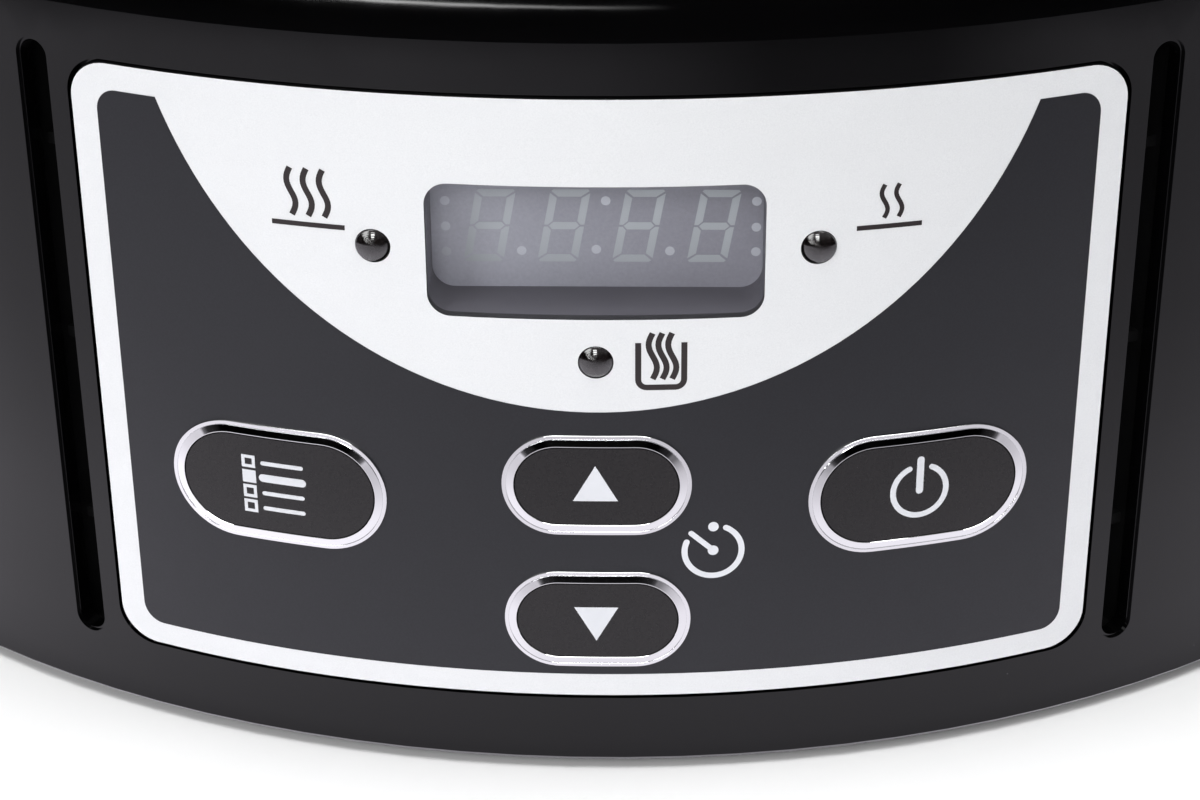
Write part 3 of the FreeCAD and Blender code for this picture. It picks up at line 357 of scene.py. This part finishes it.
def carrier_plastic():
    """Grey moulded plastic with drawn lines that run across the front."""
    look = Look("carrier_plastic")
    drawn = look.noise(1500.0, 3.0, 0.6, (0.02, 1.0, 1.0))
    tone = look.noise(90.0, 3.0)
    dark = look.colours(tone, (0.3, (0.095, 0.091, 0.108)), (0.7, (0.108, 0.104, 0.122)))
    pale = look.colours(tone, (0.3, (0.110, 0.106, 0.126)), (0.7, (0.130, 0.126, 0.146)))
    look.put(
        Base_Color=look.mixed(look.span(drawn, 0.0, 1.0, 0.42, 0.62), dark, pale),
        Roughness=look.span(drawn, 0.32, 0.48),
        Normal=look.bumped(drawn, 0.4, 0.00003),
    )
    return look.material


def glass_wool():
    """Yellow fibres that run round the well."""
    look = Look("glass_wool")
    fibre = look.noise(700.0, 6.0, 0.7, (1.0, 1.0, 0.25))
    look.put(
        Base_Color=look.colours(fibre, (0.3, (0.55, 0.50, 0.30)), (0.7, (0.86, 0.82, 0.62))),
        Roughness=look.span(fibre, 0.8, 0.95),
        Normal=look.bumped(fibre, 0.8, 0.0004),
    )
    return look.material


def make_materials():
    """One material for each slot of the record."""
    return {
        "housing_gloss": housing_gloss(),
        "handle_plastic": moulded(
            "handle_plastic", (0.012, 0.012, 0.013), 0.34, grain=1500.0, IOR=1.5
        ),
        "base_metal": moulded(
            "base_metal", (0.028, 0.028, 0.03), 0.42, 0.2, 1100.0, 0.00003, IOR=1.5
        ),
        "steel_fixings": brushed("steel_fixings", (0.55, 0.55, 0.56), 0.3, (1, 1, 1), 0.15),
        "rubber_black": moulded("rubber_black", (0.016, 0.016, 0.016), 0.75, 0.2, 1300.0, 0.00005),
        "silicone_grey": moulded("silicone_grey", (0.14, 0.14, 0.15), 0.55),
        "well_metal": brushed(
            "well_metal", (0.74, 0.74, 0.75), 0.4, (0.15, 0.15, 1.0), strength=0.15
        ),
        "heater_band": brushed("heater_band", (0.42, 0.40, 0.37), 0.4, (0.2, 0.2, 1.0), 0.2),
        "glass_wool": glass_wool(),
        "carrier_plastic": carrier_plastic(),
        "vent_black": moulded("vent_black", (0.0035, 0.0035, 0.0037), 0.5, 0.25, 900.0),
        "fascia_silver": panel_silver(),
        "chrome_trim": brushed(
            "chrome_trim", (0.90, 0.905, 0.91), 0.045, (1, 1, 1), 0.03, 1200.0, 0.02
        ),
        "button_face": button_face(),
        "display_grey": display_lens(),
        "window_clear": clear_pane("window_clear", (0.985, 0.985, 0.99), most=0.05),
        "lamp_lens": lamp_glass(),
        "board_green": moulded("board_green", (0.02, 0.11, 0.045), 0.38, 0.2, 300.0, 0.00004),
        "component_plastic": moulded("component_plastic", (0.02, 0.02, 0.022), 0.4, 0.2),
        "plunger_plastic": moulded("plunger_plastic", (0.6, 0.58, 0.5), 0.45),
        "cable_grey": moulded("cable_grey", (0.32, 0.32, 0.34), 0.5, 0.15),
        "fuse_metal": brushed("fuse_metal", (0.6, 0.5, 0.35), 0.3, (1, 1, 0.2)),
        "crock_glaze": crock_glaze(),
        "lid_glass": clear_pane("lid_glass", (0.955, 0.97, 0.965), 0.012),
        "rim_steel": brushed(
            "rim_steel", (0.68, 0.68, 0.69), 0.2, (0.1, 0.1, 1.0), 0.06, 1500.0, 0.15
        ),
        "knob_phenolic": moulded(
            "knob_phenolic", (0.011, 0.011, 0.012), 0.2, 0.2, 700.0, 0.00002, IOR=1.55
        ),
    }


# Meshes


def keep(name, mesh, body, material, slot, *replaced):
    """Adds a finished mesh as a piece that rides on a body, in place of any nodes named last."""
    piece = bpy.data.objects.new(name, mesh)
    bpy.context.scene.collection.objects.link(piece)
    mesh.materials.append(material)
    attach(piece, body)
    if replaced:
        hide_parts(*replaced)


def closed_mesh(name, vertices, faces, angle=None):
    """A smooth mesh, with sharp edges where it turns by more than the angle in degrees, if any."""
    mesh = bpy.data.meshes.new(name)
    mesh.from_pydata([Vector(vertex) * MM for vertex in vertices], [], faces)
    work = bmesh.new()
    work.from_mesh(mesh)
    bmesh.ops.remove_doubles(work, verts=work.verts[:], dist=1e-7)
    bmesh.ops.recalc_face_normals(work, faces=work.faces[:])
    work.to_mesh(mesh)
    work.free()
    for polygon in mesh.polygons:
        polygon.use_smooth = True
    if angle:
        mesh.set_sharp_from_angle(angle=math.radians(angle))
    return mesh


def around_wall(along, height, radius):
    angle = along / WALL
    return (radius * math.sin(angle), -radius * math.cos(angle), height)


def on_wall(radius):
    """How a flat point (along, up) lies on the wall, at a share of the ink's thickness."""
    return lambda x, y, rise: around_wall(x, y + PANEL_ZERO, radius + rise * INK)


def on_display(x, y, rise):
    return (x, -DISPLAY_FACE - rise * INK, y + PANEL_ZERO)


def filled(loops):
    """A flat mesh inside closed loops, where a loop within another is a hole."""
    curve = bpy.data.curves.new("outline", "CURVE")
    curve.dimensions = "2D"
    curve.fill_mode = "BOTH"
    for loop in loops:
        spline = curve.splines.new("POLY")
        spline.points.add(len(loop) - 1)
        for point, (x, y) in zip(spline.points, loop):
            point.co = (x, y, 0.0, 1.0)
        spline.use_cyclic_u = True
    holder = bpy.data.objects.new("outline", curve)
    mesh = bpy.data.meshes.new_from_object(holder)
    bpy.data.objects.remove(holder)
    bpy.data.curves.remove(curve)
    return mesh


def ink(name, shapes, place, strip):
    """A thin closed layer of the given shapes, cut into strips so that it follows a round wall."""
    work = bmesh.new()
    for loops in shapes:
        flat = filled(loops)
        work.from_mesh(flat)
        bpy.data.meshes.remove(flat)
    bmesh.ops.remove_doubles(work, verts=work.verts[:], dist=1e-5)
    if strip:
        low = min(vertex.co.x for vertex in work.verts)
        high = max(vertex.co.x for vertex in work.verts)
        cut = math.floor(low / strip) * strip + strip
        while cut < high:
            bmesh.ops.bisect_plane(
                work,
                geom=work.verts[:] + work.edges[:] + work.faces[:],
                dist=1e-5,
                plane_co=(cut, 0, 0),
                plane_no=(1, 0, 0),
            )
            cut += strip
    work.verts.index_update()
    count = len(work.verts)
    places = [tuple(vertex.co.xy) for vertex in work.verts]
    vertices = [place(x, y, 0.0) for x, y in places] + [place(x, y, 1.0) for x, y in places]
    faces = []
    for face in work.faces:
        corners = [vertex.index for vertex in face.verts]
        faces.append([count + corner for corner in corners])
        faces.append(corners[::-1])
    for edge in work.edges:
        if len(edge.link_faces) == 1:
            first, second = (vertex.index for vertex in edge.verts)
            faces.append([first, second, count + second, count + first])
    work.free()
    return closed_mesh(name, vertices, faces, 40.0)


def arc(centre, radius, start, end, step=6.0):
    """Points along an arc between two angles in degrees."""
    count = max(2, int(abs(end - start) / step) + 1)
    for index in range(count):
        angle = math.radians(start + (end - start) * index / (count - 1))
        yield (centre[0] + radius * math.cos(angle), centre[1] + radius * math.sin(angle))


def rounded_box(left, bottom, right, top, corner):
    points = []
    for x, y, start in (
        (right - corner, top - corner, 0),
        (left + corner, top - corner, 90),
        (left + corner, bottom + corner, 180),
        (right - corner, bottom + corner, 270),
    ):
        points += arc((x, y), corner, start, start + 90)
    return points


def box_corners(left, bottom, right, top):
    return [(left, bottom), (right, bottom), (right, top), (left, top)]


def disc(centre, radius):
    return list(arc(centre, radius, 0, 360, 10.0))[:-1]


def stroke(points, width, round_ends=True):
    """The outline of a line of a given width through points."""
    half = width / 2
    normals = []
    for index, point in enumerate(points):
        before = Vector(points[max(index - 1, 0)])
        after = Vector(points[min(index + 1, len(points) - 1)])
        run = (after - before).normalized()
        normals.append((-run.y, run.x))
    left = [(p[0] + n[0] * half, p[1] + n[1] * half) for p, n in zip(points, normals)]
    right = [(p[0] - n[0] * half, p[1] - n[1] * half) for p, n in zip(points, normals)]
    if not round_ends:
        return left + right[::-1]
    last, first = normals[-1], normals[0]
    turn = math.degrees(math.atan2(last[1], last[0]))
    end = list(arc(points[-1], half, turn, turn - 180, 20.0))[1:-1]
    turn = math.degrees(math.atan2(-first[1], -first[0]))
    start = list(arc(points[0], half, turn, turn - 180, 20.0))[1:-1]
    return left + end + right[::-1] + start


def wave(top, bottom, bulge_high, bulge_low):
    """A steam line: from top to bottom, off the straight line one way and then the other."""
    points = []
    steps = 16
    for index in range(steps + 1):
        share = index / steps
        x = top[0] + (bottom[0] - top[0]) * share
        y = top[1] + (bottom[1] - top[1]) * share
        swing = math.sin(2 * math.pi * share)
        points.append((x + (bulge_high if swing > 0 else bulge_low) * swing, y))
    return points


# Control panel


def field_loop():
    """The outline of the dark printed field: a rounded box less a half-moon from its top edge."""
    left, bottom, right, top, corner = -66.1, -49.1, 66.1, 30.3, 3.0
    moon_centre, moon_radius = (0.0, 52.1), 61.2
    reach = math.sqrt(moon_radius**2 - (moon_centre[1] - top) ** 2)
    down = math.degrees(math.asin((moon_centre[1] - top) / moon_radius))
    box = rounded_box(left, bottom, right, top, corner)
    count = len(box) // 4
    upper_right, upper_left = box[:count], box[count : 2 * count]
    lower = box[2 * count :]
    moon = list(arc(moon_centre, moon_radius, -down, -180 + down, 2.0))
    moon[0], moon[-1] = (reach, top), (-reach, top)
    return upper_right + moon + upper_left + lower


def chord_to_arc(x):
    return WALL * math.asin(x / WALL)


def stadium(centre, length, height, inset):
    """A slot's outline in the plane across the front (x, z), drawn in by the inset."""
    turns, runs = 36, 14
    half = length / 2 - height / 2
    radius = height / 2 - inset
    points = []
    for side, start in ((1, -90), (-1, 90)):
        end = centre[0] + side * half
        for index in range(turns + 1):
            angle = math.radians(start + 180 * index / turns)
            points.append((end + math.cos(angle) * radius, centre[1] + math.sin(angle) * radius))
        for index in range(1, runs):
            points.append((end - side * 2 * half * index / runs, centre[1] + side * radius))
    return points


# each ring's centre (x, z), length and height
RINGS = {
    "menu": ((-42.85, 41.5), 29.8, 17.5),
    "power": ((42.85, 41.5), 29.8, 17.5),
    "up": ((0.0, 44.9), 25.1, 14.8),
    "down": ((0.0, 24.4), 25.1, 14.8),
}
# how far in from the outer edge, height above the wall, and whether the surface turns sharply there
RING_PROFILE = (
    (0.00, -1.20, True),
    (0.00, 0.25, False),
    (0.02, 0.305, False),
    (0.05, 0.335, True),
    (0.49, 0.345, True),
    (0.53, 0.33, False),
    (0.55, 0.29, True),
    (0.56, 0.22, True),
    (0.615, 0.22, True),
    (0.63, 0.36, True),
    (1.50, 0.58, True),
    (1.60, 0.59, True),
    (1.64, 0.54, True),
    (1.64, -1.20, True),
)


def ring_mesh(name, centre, length, height):
    """A slot-shaped ring that follows the wall, with its profile swept round."""
    loops = [stadium(centre, length, height, inset) for inset, _, _ in RING_PROFILE]
    count = len(loops[0])
    vertices = []
    for (_, rise, _), loop in zip(RING_PROFILE, loops):
        radius = WALL + rise
        vertices += [(x, -math.sqrt(radius**2 - x**2), z) for x, z in loop]
    faces = []
    rows = len(RING_PROFILE)
    for row in range(rows):
        below = (row + 1) % rows
        for index in range(count):
            after = (index + 1) % count
            upper = [row * count + index, row * count + after]
            faces.append(upper + [below * count + after, below * count + index])
    mesh = closed_mesh(name, vertices, faces)
    sharp = mesh.attributes.new("sharp_edge", "BOOLEAN", "EDGE")
    for edge, mark in zip(mesh.edges, sharp.data):
        first, second = (vertex // count for vertex in edge.vertices)
        mark.value = first == second and RING_PROFILE[first][2]
    return mesh


def build_rings(looks):
    for key, (centre, length, height) in RINGS.items():
        mesh = ring_mesh(f"ring_trim_{key}", centre, length, height)
        keep(f"ring_trim_{key}", mesh, "base", looks["chrome_trim"], "chrome_trim", f"ring_{key}")


def build_field(looks):
    """The charcoal print, with a hole for each ring that reaches a little under it."""
    under = 0.12
    holes = []
    for centre, length, height in RINGS.values():
        loop = stadium(centre, length, height, under)
        holes.append([(chord_to_arc(x), z - PANEL_ZERO) for x, z in loop])
    mesh = ink("panel_field", [[field_loop()] + holes], on_wall(WALL), 2.0)
    keep("panel_field", mesh, "base", looks["print"], "fascia_silver")


LAMPS = {"high": (-28.26, 13.2), "low": (28.26, 13.2), "warm": (0.0, -1.9)}
LAMP_RADIUS = 2.2
LAMP_CAP = 3.42  # radius of the dome's curve
LAMP_EDGE = -0.06  # how far the dome's edge stands out from the wall
LAMP_DEPTH = 12.0
LAMP_RIPPLE = 0.006


def build_lamps(looks):
    """Low domed lenses with fine turned rings, standing just proud of the panel."""
    sides, rows = 64, 44
    for key, (across, up) in LAMPS.items():
        wall = math.sqrt(WALL**2 - across**2)
        drop = math.sqrt(LAMP_CAP**2 - LAMP_RADIUS**2)
        edge = wall + LAMP_EDGE
        profile = [(LAMP_RADIUS, wall - LAMP_DEPTH), (LAMP_RADIUS, edge - 0.05)]
        for row in range(rows):
            reach = LAMP_RADIUS * (1 - 0.02 - row / rows)
            ripple = LAMP_RIPPLE * math.sin(row * math.pi / 2)
            profile.append((reach, edge + math.sqrt(LAMP_CAP**2 - reach**2) - drop + ripple))
        vertices = []
        for reach, out in profile:
            for side in range(sides):
                angle = 2 * math.pi * side / sides
                x = across + reach * math.cos(angle)
                vertices.append((x, -out, up + PANEL_ZERO + reach * math.sin(angle)))
        faces = []
        for row in range(len(profile) - 1):
            for side in range(sides):
                after = (side + 1) % sides
                here, above = row * sides, (row + 1) * sides
                faces.append([here + side, here + after, above + after, above + side])
        faces.append(list(range(sides)))
        faces.append(list(range((len(profile) - 1) * sides, len(profile) * sides)))
        mesh = closed_mesh(f"lamp_dome_{key}", vertices, faces, 60.0)
        keep(f"lamp_dome_{key}", mesh, "base", looks["lamp_lens"], "lamp_lens", f"lamp_{key}")


def steam(tops, high, low, bulges, width, lean):
    """Steam lines, one from each place along the top."""
    lines = [wave((x, high), (x + lean, low), *bulges) for x in tops]
    return [[stroke(line, width, round_ends=False)] for line in lines]


def build_panel_marks(looks):
    """High heat, low heat and keep warm in dark ink on the silver; the clock in light ink."""
    dark = steam((-38.96, -36.76, -34.6), 22.98, 16.58, (-0.52, -0.56), 0.8, -0.03)
    dark.append([stroke([(-41.8, 15.35), (-32.0, 15.35)], 0.66, round_ends=False)])
    dark += steam((36.75, 38.66), 21.07, 16.57, (-0.42, -0.42), 0.6, 0.02)
    dark.append([stroke([(33.25, 15.4), (41.85, 15.4)], 0.64, round_ends=False)])
    dark += steam((7.3, 8.55, 9.8), 2.2, -4.3, (-0.52, -0.54), 0.78, 0.02)
    pot = [(5.45, 0.85), (5.45, -4.4)]
    pot += list(arc((6.55, -4.4), 1.1, 180, 270, 15.0))[1:]
    pot += list(arc((10.27, -4.4), 1.1, 270, 360, 15.0))
    pot.append((11.37, 0.85))
    dark.append([stroke(pot, 0.78, round_ends=False)])
    mesh = ink("panel_symbols", dark, on_wall(WALL), 0.8)
    keep("panel_symbols", mesh, "base", looks["symbol_dark"], "fascia_silver")

    clock = (15.45, -30.0)
    light = [
        [stroke(list(arc(clock, 3.82, 158, 424)), 0.8)],
        [disc((15.45, -26.35), 0.7)],
        [stroke([(12.5, -27.25), (15.1, -29.6)], 0.75)],
        [disc((15.45, -29.95), 0.72)],
    ]
    mesh = ink("timer_symbol", light, on_wall(WALL + INK), 0.8)
    keep("timer_symbol", mesh, "base", looks["symbol_light"], "button_face")


def menu_list():
    """A column of small squares, one of them filled, with a bar beside each."""
    left, right, line, raised = -48.35, -46.4, 0.45, 0.3
    shapes = []
    for top, bottom, solid in (
        (-19.35, -21.2, False),
        (-21.6, -23.5, True),
        (-23.85, -25.75, False),
        (-26.1, -28.0, False),
    ):
        outer = box_corners(left, bottom, right, top)
        inner = box_corners(left + line, bottom + line, right - line, top - line)
        shapes.append([outer] if solid else [outer, inner])
    for height in (-20.3, -24.85, -27.15):
        shapes.append([stroke([(-45.3, height), (-39.8, height)], 0.6)])
    shapes.append([stroke([(-45.4, -22.55), (-39.75, -22.55)], 1.15)])
    return [[[(x, y + raised) for x, y in loop] for loop in loops] for loops in shapes]


def build_key_marks(looks):
    ring = (43.3, -23.2)
    marks = {
        "power": [
            [stroke(list(arc(ring, 3.72, 114.8, 425.2)), 0.8)],
            [stroke([(43.27, -18.6), (43.27, -23.2)], 1.0)],
        ],
        "menu": menu_list(),
        "up": [[[(-3.1, -21.9), (2.8, -21.9), (-0.15, -16.7)]]],
        "down": [[[(-3.1, -38.2), (-0.15, -43.4), (2.8, -38.2)]]],
    }
    for key, shapes in marks.items():
        mesh = ink(f"{key}_symbol", shapes, on_wall(CAP_FRONT), 0.8)
        keep(f"{key}_symbol", mesh, f"{key}_key", looks["symbol_light"], "button_face")


DIGIT_WIDTH, DIGIT_HEIGHT, DIGIT_SLANT = 5.2, 10.1, 10.5
BAR_WIDTH, BAR_GAP, BAR_NICK = 1.0, 0.15, 0.22
DIGIT_MIDDLES, DIGIT_LEVEL = (-13.9, -4.25, 5.45, 15.15), 12.72


def digit_shapes(middle):
    """The seven bars of one figure, with mitred ends, leaning to the right."""
    w, h, t, g, nick = DIGIT_WIDTH / 2, DIGIT_HEIGHT / 2, BAR_WIDTH, BAR_GAP, BAR_NICK
    top = [
        (-w + g + nick, h),
        (w - g - nick, h),
        (w - g, h - nick),
        (w - t - g, h - t),
        (-w + t + g, h - t),
        (-w + g, h - nick),
    ]
    centre = [
        (-w + t / 2 + g, 0),
        (-w + t + g, t / 2),
        (w - t - g, t / 2),
        (w - t / 2 - g, 0),
        (w - t - g, -t / 2),
        (-w + t + g, -t / 2),
    ]
    upper = [
        (w, h - nick - 2 * g),
        (w, g),
        (w - t / 2, g),
        (w - t, t / 2 + g),
        (w - t, h - t - 1.4 * g),
    ]
    lean = math.tan(math.radians(DIGIT_SLANT))
    shapes = []
    for bar, flips in (
        (top, ((1, 1), (1, -1))),
        (centre, ((1, 1),)),
        (upper, ((1, 1), (-1, 1), (1, -1), (-1, -1))),
    ):
        for across, up in flips:
            outline = [
                (middle + x * across + y * up * lean, DIGIT_LEVEL + y * up) for x, y in bar
            ]
            shapes.append([outline])
    return shapes


def build_display(looks):
    """The unlit bars of four figures, their points and the small dots beside them."""
    figures = []
    for middle in DIGIT_MIDDLES:
        figures += digit_shapes(middle)
    mesh = ink("display_figures", figures, on_display, 0)
    keep("display_figures", mesh, "base", looks["segment"], "display_grey")
    dots = [(-19.6, y) for y in (16.15, 12.6, 9.05)]
    dots += [(20.6, y) for y in (16.2, 12.6, 9.15)]
    dots += [(-9.8, 9.2), (-0.1, 9.4), (9.45, 9.2), (1.15, 16.2)]
    mesh = ink("display_dots", [[disc(dot, 0.62)] for dot in dots], on_display, 0)
    keep("display_dots", mesh, "base", looks["segment_dot"], "display_grey")


def symbol_looks(looks):
    """Adds the inks, which have no slot of their own."""
    looks["print"] = panel_print()
    for name, colour, roughness, spread in (
        ("symbol_dark", (0.020, 0.014, 0.014), 0.4, 0.2),
        ("symbol_light", (0.68, 0.69, 0.735), 0.42, 0.05),
        ("segment", (0.475, 0.508, 0.537), 0.5, 0.05),
        ("segment_dot", (0.57, 0.59, 0.64), 0.5, 0.05),
    ):
        looks[name] = moulded(name, colour, roughness, spread, 3000.0, 0.000005)


# Nodes of the CAD model


def dress_nodes(looks):
    """Gives each node the material of its slot."""
    for part in frame["record"]["subparts"]:
        node, slot = nodes[part["node"]], part["material_slot"]
        node.data.materials.clear()
        node.data.materials.append(looks[slot])


# Stage


STAGE_REACH = 6.0
# how bright the far paper and the backdrop look to the camera
FAR_PAPER = 0.75
BACKDROP = 0.86
# distances between which the paper goes over from lit to far
NEAR_END, FAR_START = 0.42, 1.9


def flat_stage(name, material, height):
    mesh = bpy.data.meshes.new(name)
    work = bmesh.new()
    bmesh.ops.create_grid(work, x_segments=8, y_segments=8, size=STAGE_REACH)
    work.to_mesh(mesh)
    work.free()
    sheet = bpy.data.objects.new(name, mesh)
    sheet.location.z = height
    bpy.context.scene.collection.objects.link(sheet)
    mesh.materials.append(material)
    return sheet


def stage_floor():
    """Pale paper that stays bright far from the lights."""
    look = Look("floor")
    paper = look.noise(6.0, 4.0)
    reach = look.new("ShaderNodeVectorMath", operation="LENGTH")
    look.link(look.place, reach.inputs[0])
    look.put(
        Base_Color=look.colours(paper, (0.3, (0.90, 0.90, 0.905)), (0.7, (0.93, 0.93, 0.932))),
        Roughness=look.span(paper, 0.75, 0.85),
        Emission_Strength=look.span(
            reach.outputs["Value"], 0.0, FAR_PAPER, NEAR_END, FAR_START
        ),
    )
    look.fix(Emission_Color=(1.0, 1.0, 1.0, 1.0))
    look.material.cycles.emission_sampling = "NONE"
    floor = flat_stage("floor", look.material, 0.0)
    floor.visible_glossy = False


# how bright the lit paper looks in the gloss, by distance from the housing's wall in millimetres
PAPER_GLOW = (
    (0, 0.62),
    (6, 0.92),
    (16, 1.04),
    (44, 1.00),
    (78, 0.80),
    (119, 0.66),
    (168, 0.60),
    (228, 0.56),
    (288, 0.60),
    (325, 0.12),
    (400, 0.02),
    (900, 0.0),
)
PAPER_GLOW_BEHIND = ((0, 0.5), (10, 0.8), (60, 1.05), (200, 0.9), (450, 0.62), (900, 0.4))
PAPER_TINT = (0.5, 0.482, 0.525)
# a dimmer patch of the paper: its middle, and the distances between which it fades out
DIM_PATCH, DIM_START, DIM_END = (0.165, -0.415, 0.0), 0.06, 0.17


def stage_glow():
    """The pool of light on the paper, as gloss mirrors it: brightest near the left of the wall."""
    look = Look("floor_glow")
    tree = look.tree
    tree.nodes.remove(look.shader)
    split = look.new("ShaderNodeSeparateXYZ")
    look.link(look.place, split.inputs["Vector"])
    flatten = look.new("ShaderNodeVectorMath", operation="MULTIPLY")
    flatten.inputs[1].default_value = (1.0, 1.0, 0.0)
    look.link(look.place, flatten.inputs[0])
    reach = look.new("ShaderNodeVectorMath", operation="LENGTH")
    look.link(flatten.outputs["Vector"], reach.inputs[0])
    far = PAPER_GLOW[-1][0]
    share = look.span(reach.outputs["Value"], 0.0, 1.0, WALL * MM, (WALL + far) * MM)
    ahead, behind = (
        look.colours(share, *((distance / far, shade(PAPER_TINT, glow)) for distance, glow in ramp))
        for ramp in (PAPER_GLOW, PAPER_GLOW_BEHIND)
    )
    pool = look.mixed(look.span(split.outputs["Y"], 0.0, 1.0, -0.17, 0.02), ahead, behind)
    side = look.colours(
        look.span(split.outputs["X"], 0.0, 1.0, -0.15, 0.15),
        (0.0, (0.85, 0.85, 0.85)),
        (0.5, (0.60, 0.60, 0.60)),
        (1.0, (0.61, 0.61, 0.61)),
    )
    gap = look.new("ShaderNodeVectorMath", operation="DISTANCE")
    look.link(look.place, gap.inputs[0])
    gap.inputs[1].default_value = DIM_PATCH
    dimmed = look.new("ShaderNodeMath", operation="MULTIPLY")
    look.link(side, dimmed.inputs[0])
    look.link(look.span(gap.outputs["Value"], 0.9, 3.0, DIM_START, DIM_END), dimmed.inputs[1])
    scaled = look.new("ShaderNodeVectorMath", operation="SCALE")
    look.link(pool, scaled.inputs[0])
    look.link(dimmed.outputs["Value"], scaled.inputs["Scale"])
    glow = look.new("ShaderNodeEmission")
    look.link(scaled.outputs["Vector"], glow.inputs["Color"])
    look.link(glow.outputs["Emission"], tree.nodes["Material Output"].inputs["Surface"])
    look.material.cycles.emission_sampling = "NONE"
    mirrored = flat_stage("floor_glow", look.material, -0.0002)
    mirrored.visible_camera = False
    mirrored.visible_diffuse = False
    mirrored.visible_transmission = False
    mirrored.visible_shadow = False


# each light's place, target, width and height, power and spread in degrees
LIGHTS = {
    "top": ((0.0, -0.15, 1.25), (0.0, -0.1, 0.0), (1.1, 1.1), 8.0, 110.0),
    "left": ((-1.0, -1.3, 1.0), (0.0, -0.1, 0.1), (0.7, 0.9), 8.6, 180.0),
    "right": ((1.3, -0.9, 1.1), (0.0, -0.05, 0.1), (0.6, 0.9), 0.6, 180.0),
    "front": ((-0.1, -1.5, 0.85), (0.0, -0.15, 0.08), (0.4, 0.3), 5.4, 180.0),
    "low": ((-0.45, -1.7, 0.235), (0.0, -0.15, 0.1), (1.36, 0.045), 3.6, 180.0),
    "behind": ((0.3, 1.5, 1.2), (0.0, 0.0, 0.1), (1.2, 0.8), 4.0, 180.0),
}
# how the low strip fades along its width: (share of the width, factor)
LOW_FADE = (
    (0.0, 1.0),
    (0.25, 1.0),
    (0.37, 0.9),
    (0.53, 0.7),
    (0.68, 0.34),
    (0.84, 0.17),
    (1.0, 0.0),
)


def area_light(name, place, target, size, power, spread):
    light = bpy.data.lights.new(name, "AREA")
    light.shape = "RECTANGLE"
    light.size, light.size_y = size
    light.energy = power
    light.spread = math.radians(spread)
    holder = bpy.data.objects.new(name, light)
    holder.location = place
    aim = Vector(target) - Vector(place)
    holder.rotation_euler = aim.to_track_quat("-Z", "Y").to_euler()
    bpy.context.scene.collection.objects.link(holder)
    return light


def fade_along(light, stops):
    """Makes an area light's brightness change along its width."""
    light.use_nodes = True
    tree = light.node_tree
    place = tree.nodes.new("ShaderNodeNewGeometry")
    split = tree.nodes.new("ShaderNodeSeparateXYZ")
    ramp = tree.nodes.new("ShaderNodeFloatCurve")
    curve = ramp.mapping.curves[0]
    curve.points[0].location = stops[0]
    curve.points[1].location = stops[-1]
    for share, factor in stops[1:-1]:
        curve.points.new(share, factor)
    ramp.mapping.update()
    tree.links.new(place.outputs["Parametric"], split.inputs["Vector"])
    tree.links.new(split.outputs["X"], ramp.inputs["Value"])
    tree.links.new(ramp.outputs["Value"], tree.nodes["Emission"].inputs["Strength"])


def build_world():
    """A dim room with a brighter ceiling, and a pale backdrop for the camera alone."""
    world = bpy.data.worlds.new("studio")
    world.use_nodes = True
    bpy.context.scene.world = world
    tree = world.node_tree
    back = tree.nodes["Background"]
    back.inputs["Color"].default_value = (1.0, 1.0, 1.0, 1.0)
    place = tree.nodes.new("ShaderNodeTexCoord")
    split = tree.nodes.new("ShaderNodeSeparateXYZ")
    tree.links.new(place.outputs["Generated"], split.inputs["Vector"])
    rise = tree.nodes.new("ShaderNodeMapRange")
    set_range(rise, 0.2, 0.85, 0.002, 0.32)
    tree.links.new(split.outputs["Z"], rise.inputs["Value"])
    seen = tree.nodes.new("ShaderNodeLightPath")
    paper = tree.nodes.new("ShaderNodeMix")
    paper.inputs["B"].default_value = BACKDROP
    tree.links.new(seen.outputs["Is Camera Ray"], paper.inputs["Factor"])
    tree.links.new(rise.outputs["Result"], paper.inputs["A"])
    tree.links.new(paper.outputs["Result"], back.inputs["Strength"])


CAMERA_PLACE = (8.59, -466.1, 212.6)
CAMERA_PITCH, CAMERA_YAW, CAMERA_ROLL = -26.77, -1.503, -0.3825
CAMERA_SENSOR, CAMERA_LENS = 36.0, 80.0


def build_camera():
    """A level camera that is pitched and turned, then rolled about its line of sight."""
    data = bpy.data.cameras.new("camera")
    data.sensor_fit = "HORIZONTAL"
    data.sensor_width = CAMERA_SENSOR
    data.lens = CAMERA_LENS
    data.clip_start, data.clip_end = 0.01, 50.0
    camera = bpy.data.objects.new("camera", data)
    bpy.context.scene.collection.objects.link(camera)
    pitch, yaw, roll = (math.radians(turn) for turn in (CAMERA_PITCH, CAMERA_YAW, CAMERA_ROLL))
    level = math.cos(pitch)
    forward = Vector((math.sin(yaw) * level, math.cos(yaw) * level, math.sin(pitch)))
    right = forward.cross(Vector((0, 0, 1))).normalized()
    up = right.cross(forward)
    turned_right = right * math.cos(roll) + up * math.sin(roll)
    turned_up = up * math.cos(roll) - right * math.sin(roll)
    columns = Matrix((turned_right, turned_up, -forward)).transposed()
    camera.matrix_world = Matrix.Translation(Vector(CAMERA_PLACE) * MM) @ columns.to_4x4()
    bpy.context.scene.camera = camera


def build_stage():
    stage_floor()
    stage_glow()
    lights = {name: area_light(name, *values) for name, values in LIGHTS.items()}
    fade_along(lights["low"], LOW_FADE)
    build_world()
    bpy.context.scene.view_settings.view_transform = "Standard"
    bpy.context.scene.view_settings.look = "None"


materials = make_materials()
symbol_looks(materials)
dress_nodes(materials)
build_rings(materials)
build_field(materials)
build_panel_marks(materials)
build_key_marks(materials)
build_lamps(materials)
build_display(materials)
build_stage()
build_camera()
